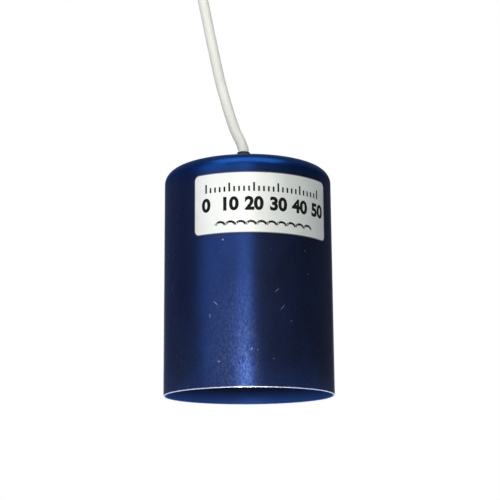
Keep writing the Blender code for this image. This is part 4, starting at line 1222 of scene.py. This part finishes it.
def teeth_tree():
    """The base shape plus a row of ratchet teeth across the top of the strap."""
    tree, given = repeat_tree("strap teeth", "Count", "Spacing", "Start X", "Height", "Tooth Width",
                              "Tooth Length", "Tooth Rise")
    size = vector_of(tree, X=given["Tooth Length"], Y=given["Tooth Width"], Z=given["Tooth Rise"])
    tooth = add(tree, "GeometryNodeMeshCube", {"Size": size}).outputs["Mesh"]
    points = row_of_points(tree, given, X=given["Start X"], Z=given["Height"])
    both = add(tree, "GeometryNodeJoinGeometry", {0: copies_at(tree, points, tooth)})
    tree.links.new(given["Geometry"], both.inputs[0])
    return finish_tree(tree, given, both.outputs[0])


def place_tie(obj, degrees):
    """Turn the finished strap round the coil's axis and set it over the bundle of turns."""
    middle = coil_point(degrees, COIL_MEAN_RADIUS - tie_shift, 0.0)
    obj.data.transform(Matrix.Translation(middle) @ Matrix.Rotation(math.radians(degrees), 4, "Z"))
    return obj


strap_teeth = teeth_tree()
for number, degrees in enumerate(TIE_ANGLES, start=1):
    tie = bake(make_tie_body(f"tie_{number}"), strap_teeth, {
        "Count": 17, "Spacing": 0.0009, "Start X": -0.0072, "Height": tie_top + TIE_THICKNESS - 0.00006,
        "Tooth Width": TIE_WIDTH * 0.62, "Tooth Length": 0.00045, "Tooth Rise": 0.00022,
        "Finish": black_nylon})
    carry_over(place_tie(tie, degrees), "tie", f"coil_tie_{number}")

# %% [markdown]
# ## The stripped end
#
# The far end of the cable is bare, as it is sold: the jacket is cut back and each core ends in a crimped
# ferrule, ready for a terminal. The cores fan out from the jacket, so each is a short sweep of its own.

# %% Cores and ferrules
CORE_DIAMETER, CORE_SPREAD, CORE_LENGTH = 0.0012, 0.0002, 0.007
CORE_ROWS = (0, 1, -1)
COLLAR_RADIUS, COLLAR_LENGTH, SLEEVE_RADIUS, SLEEVE_LENGTH = 0.0012, 0.002, 0.0009, 0.005


def core_path(index, row):
    ring = CORE_DIAMETER / math.sqrt(3) + CORE_SPREAD
    angle = math.pi / 2 - 2 * math.pi * index / len(CORE_ROWS)
    start = cable_end + Vector((-FIT, ring * math.cos(angle), ring * math.sin(angle)))
    side = row * (2 * COLLAR_RADIUS + FIT)
    tip = cable_end + Vector((-FIT - CORE_LENGTH, side, COLLAR_RADIUS + FIT - cable_end.z))
    run = Vector((-CORE_LENGTH / 3, 0, 0))
    return smooth_path([start + Vector((FIT, 0, 0)), start, start + run, tip - run, tip], CORE_LENGTH / 18)


def make_end_ferrule(name, tip):
    outline = rounded([
        (0, 0), (COLLAR_RADIUS, 0), (COLLAR_RADIUS, COLLAR_LENGTH), (SLEEVE_RADIUS, COLLAR_LENGTH + 0.0004),
        (SLEEVE_RADIUS, COLLAR_LENGTH + SLEEVE_LENGTH), (0, COLLAR_LENGTH + SLEEVE_LENGTH)], 0.00012)
    ferrule = lathe(name, outline, segments=40, closed=False)
    crimp = 0.16
    for vert in ferrule.data.vertices:
        if COLLAR_LENGTH + 0.0008 < vert.co.z < COLLAR_LENGTH + SLEEVE_LENGTH - 0.0008:
            vert.co.y *= 1 - crimp
    lay_down = Matrix.Translation(tip + Vector((-FIT, 0, 0))) @ Matrix.Rotation(-math.pi / 2, 4, "Y")
    ferrule.data.transform(lay_down)
    return ferrule


cores, ferrules = [], []
for index, row in enumerate(CORE_ROWS):
    path = core_path(index, row)
    core = dress(sweep(f"core_{index + 1}", path, CORE_DIAMETER / 2, sides=16), core_finishes[index])
    slot = ("core_brown", "core_white", "core_green")[index]
    cores.append(carry_over(core, slot, f"tail_core_{index + 1}"))
    ferrule = dress(make_end_ferrule(f"end_ferrule_{index + 1}", path[-1]), tinned_copper)
    ferrules.append(carry_over(ferrule, "ferrule", f"ferrule_{index + 1}"))
print("the far end has", len(cores), "cores")

# %% [markdown]
# ## The cable's length
#
# The ties, cores and ferrules lie on the cable and go with it. Its length is the short length that such
# probes are sold with.

# %% [markdown]
# ## Nodes that stay as the CAD made them
#
# Everything sealed inside the gland and the can is right as it is. These nodes keep their meshes and
# only get their finish, from the table of finishes below.

# %% Finishes for the carried-over nodes
NODE_FINISHES = {
    "gland_body": plated_brass, "inner_gasket": black_rubber, "lock_nut": plated_brass,
    "cable_clamp": stainless, "cable_inner": ivory_jacket, "core_wire_1": core_finishes[0],
    "core_wire_2": core_finishes[1], "core_wire_3": core_finishes[2], "terminal_block": terminal_green,
    "amplifier_chip": chip_resin, "circuit_board": board_green, "pressure_sensor": stainless,
    "board_spacer": black_plastic, "cover_o_ring": black_rubber}
for node_name, finish in NODE_FINISHES.items():
    dress(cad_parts[node_name], finish)
left_plain = [name for name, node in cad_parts.items()
              if not node.hide_render and name not in NODE_FINISHES]
print("carried over:", len(NODE_FINISHES), "left plain:", left_plain)

# %% [markdown]
# ## Floor, world and light
#
# The photograph has a white ground and soft light. The camera looks up from below the floor's level, so
# the floor shows only its upper side and lets the camera through from below. Seen from above it is pale
# and fades to white with distance, for the camera and for the rays off metal, and it keeps the probe's
# shadow. The world is white where the camera sees it, and white behind the probe for reflections.
# Towards the viewer it is darker, as a room is, and that keeps the front of the bell deep blue.

# %% Floor
FLOOR_REACH = 5.0


def background_rays(tree):
    """Two masks: rays from the camera, and rays off metal or through glass."""
    path = add(tree, "LightPath").outputs
    return path["Is Camera Ray"], maths(tree, "MAXIMUM", path["Is Glossy Ray"], path["Is Transmission Ray"])


def see_through_from_behind(tree, shader):
    """Keep the front of a stage surface and let light and camera pass through its back."""
    side, clear = add(tree, "NewGeometry"), add(tree, "BsdfTransparent")
    mix = add(tree, "MixShader", {0: side.outputs["Backfacing"], 1: shader, 2: clear.outputs[0]})
    tree.links.new(mix.outputs[0], tree.nodes["Material Output"].inputs["Surface"])


def make_floor():
    bm = bmesh.new()
    bmesh.ops.create_grid(bm, x_segments=2, y_segments=2, size=FLOOR_REACH)
    floor = mesh_object("floor", bm)
    material, tree, shader = new_finish("pale floor")
    plug(tree, shader, base_color=(0.86, 0.86, 0.86), roughness=0.9, specular_ior_level=0.1)
    distance = length_of(tree, object_spot(tree))
    shown = maths(tree, "MAXIMUM", *background_rays(tree))
    white = maths(tree, "MULTIPLY", shown, remap(tree, distance, 0.45, 1.6, 0.55, 1.0))
    paper = add(tree, "Emission", {"Color": (1, 1, 1, 1), "Strength": 1.0})
    mix = add(tree, "MixShader", {0: white, 1: shader.outputs[0], 2: paper.outputs[0]})
    see_through_from_behind(tree, mix.outputs[0])
    material.cycles.emission_sampling = "NONE"
    floor.visible_shadow = False
    return dress(floor, material)


floor = make_floor()
print("floor is", round(floor.dimensions.x, 2), "m wide")

# %% World
def make_world():
    world = bpy.data.worlds.new("studio")
    scene.world = world
    world.use_nodes = True
    tree = world.node_tree
    way = add(tree, "SeparateXYZ", {"Vector": add(tree, "TexCoord").outputs["Generated"]}).outputs
    behind = remap(tree, way["Y"], 0.92, 0.99)
    above = remap(tree, way["Z"], 0.25, 0.95)
    left = remap(tree, way["X"], 0.3, -0.9)
    room = blend_colours(tree, left, (0.06, 0.06, 0.07), (0.11, 0.13, 0.22))
    room = blend_colours(tree, above, room, (0.36, 0.37, 0.41))
    from_camera, mirrored = background_rays(tree)
    shown = maths(tree, "MAXIMUM", from_camera, maths(tree, "MULTIPLY", mirrored, behind))
    seen = blend_colours(tree, shown, room, (1.0, 1.0, 1.0))
    plug(tree, tree.nodes["Background"], color=seen, strength=1.0)


make_world()
print("world:", scene.world.name)

# %% Lamps
def hang_lamp(name, data, place, aim, power):
    data.energy = power
    lamp = bpy.data.objects.new(name, data)
    lamp.location = place
    lamp.rotation_euler = (Vector(aim) - Vector(place)).to_track_quat("-Z", "Y").to_euler()
    scene.collection.objects.link(lamp)
    return lamp


def soft_lamp(name, place, aim, width, height, power):
    data = bpy.data.lights.new(name, "AREA")
    data.shape, data.size, data.size_y = "RECTANGLE", width, height
    return hang_lamp(name, data, place, aim, power)


def spot_lamp(name, place, aim, cone, radius, power):
    """A lamp that lights only a narrow cone."""
    data = bpy.data.lights.new(name, "SPOT")
    data.spot_size, data.spot_blend, data.shadow_soft_size = cone, 0.2, radius
    return hang_lamp(name, data, place, aim, power)


lamps = [
    soft_lamp("front window", (-0.070, -1.05, 0.20), (0, 0, 0.045), 0.28, 0.42, 0.86),
    soft_lamp("window's left half", (-0.36, -0.98, 0.20), (0, 0, 0.045), 0.30, 0.42, 0.44),
    soft_lamp("low strip", (-0.078, -1.05, -0.020), (0, 0, 0.045), 0.14, 0.10, 1.30),
    soft_lamp("left wall", (-0.76, -0.70, 0.25), (0, 0, 0.05), 0.66, 0.7, 1.5),
    soft_lamp("top sheet", (0.0, -0.66, 0.93), (0, 0, 0.08), 1.6, 0.8, 8.5),
    spot_lamp("under light", (0.0, -0.02, -0.30), (0, 0, 0.09), math.radians(15), 0.01, 5.0),
]
print("lamps:", [lamp.name for lamp in lamps])
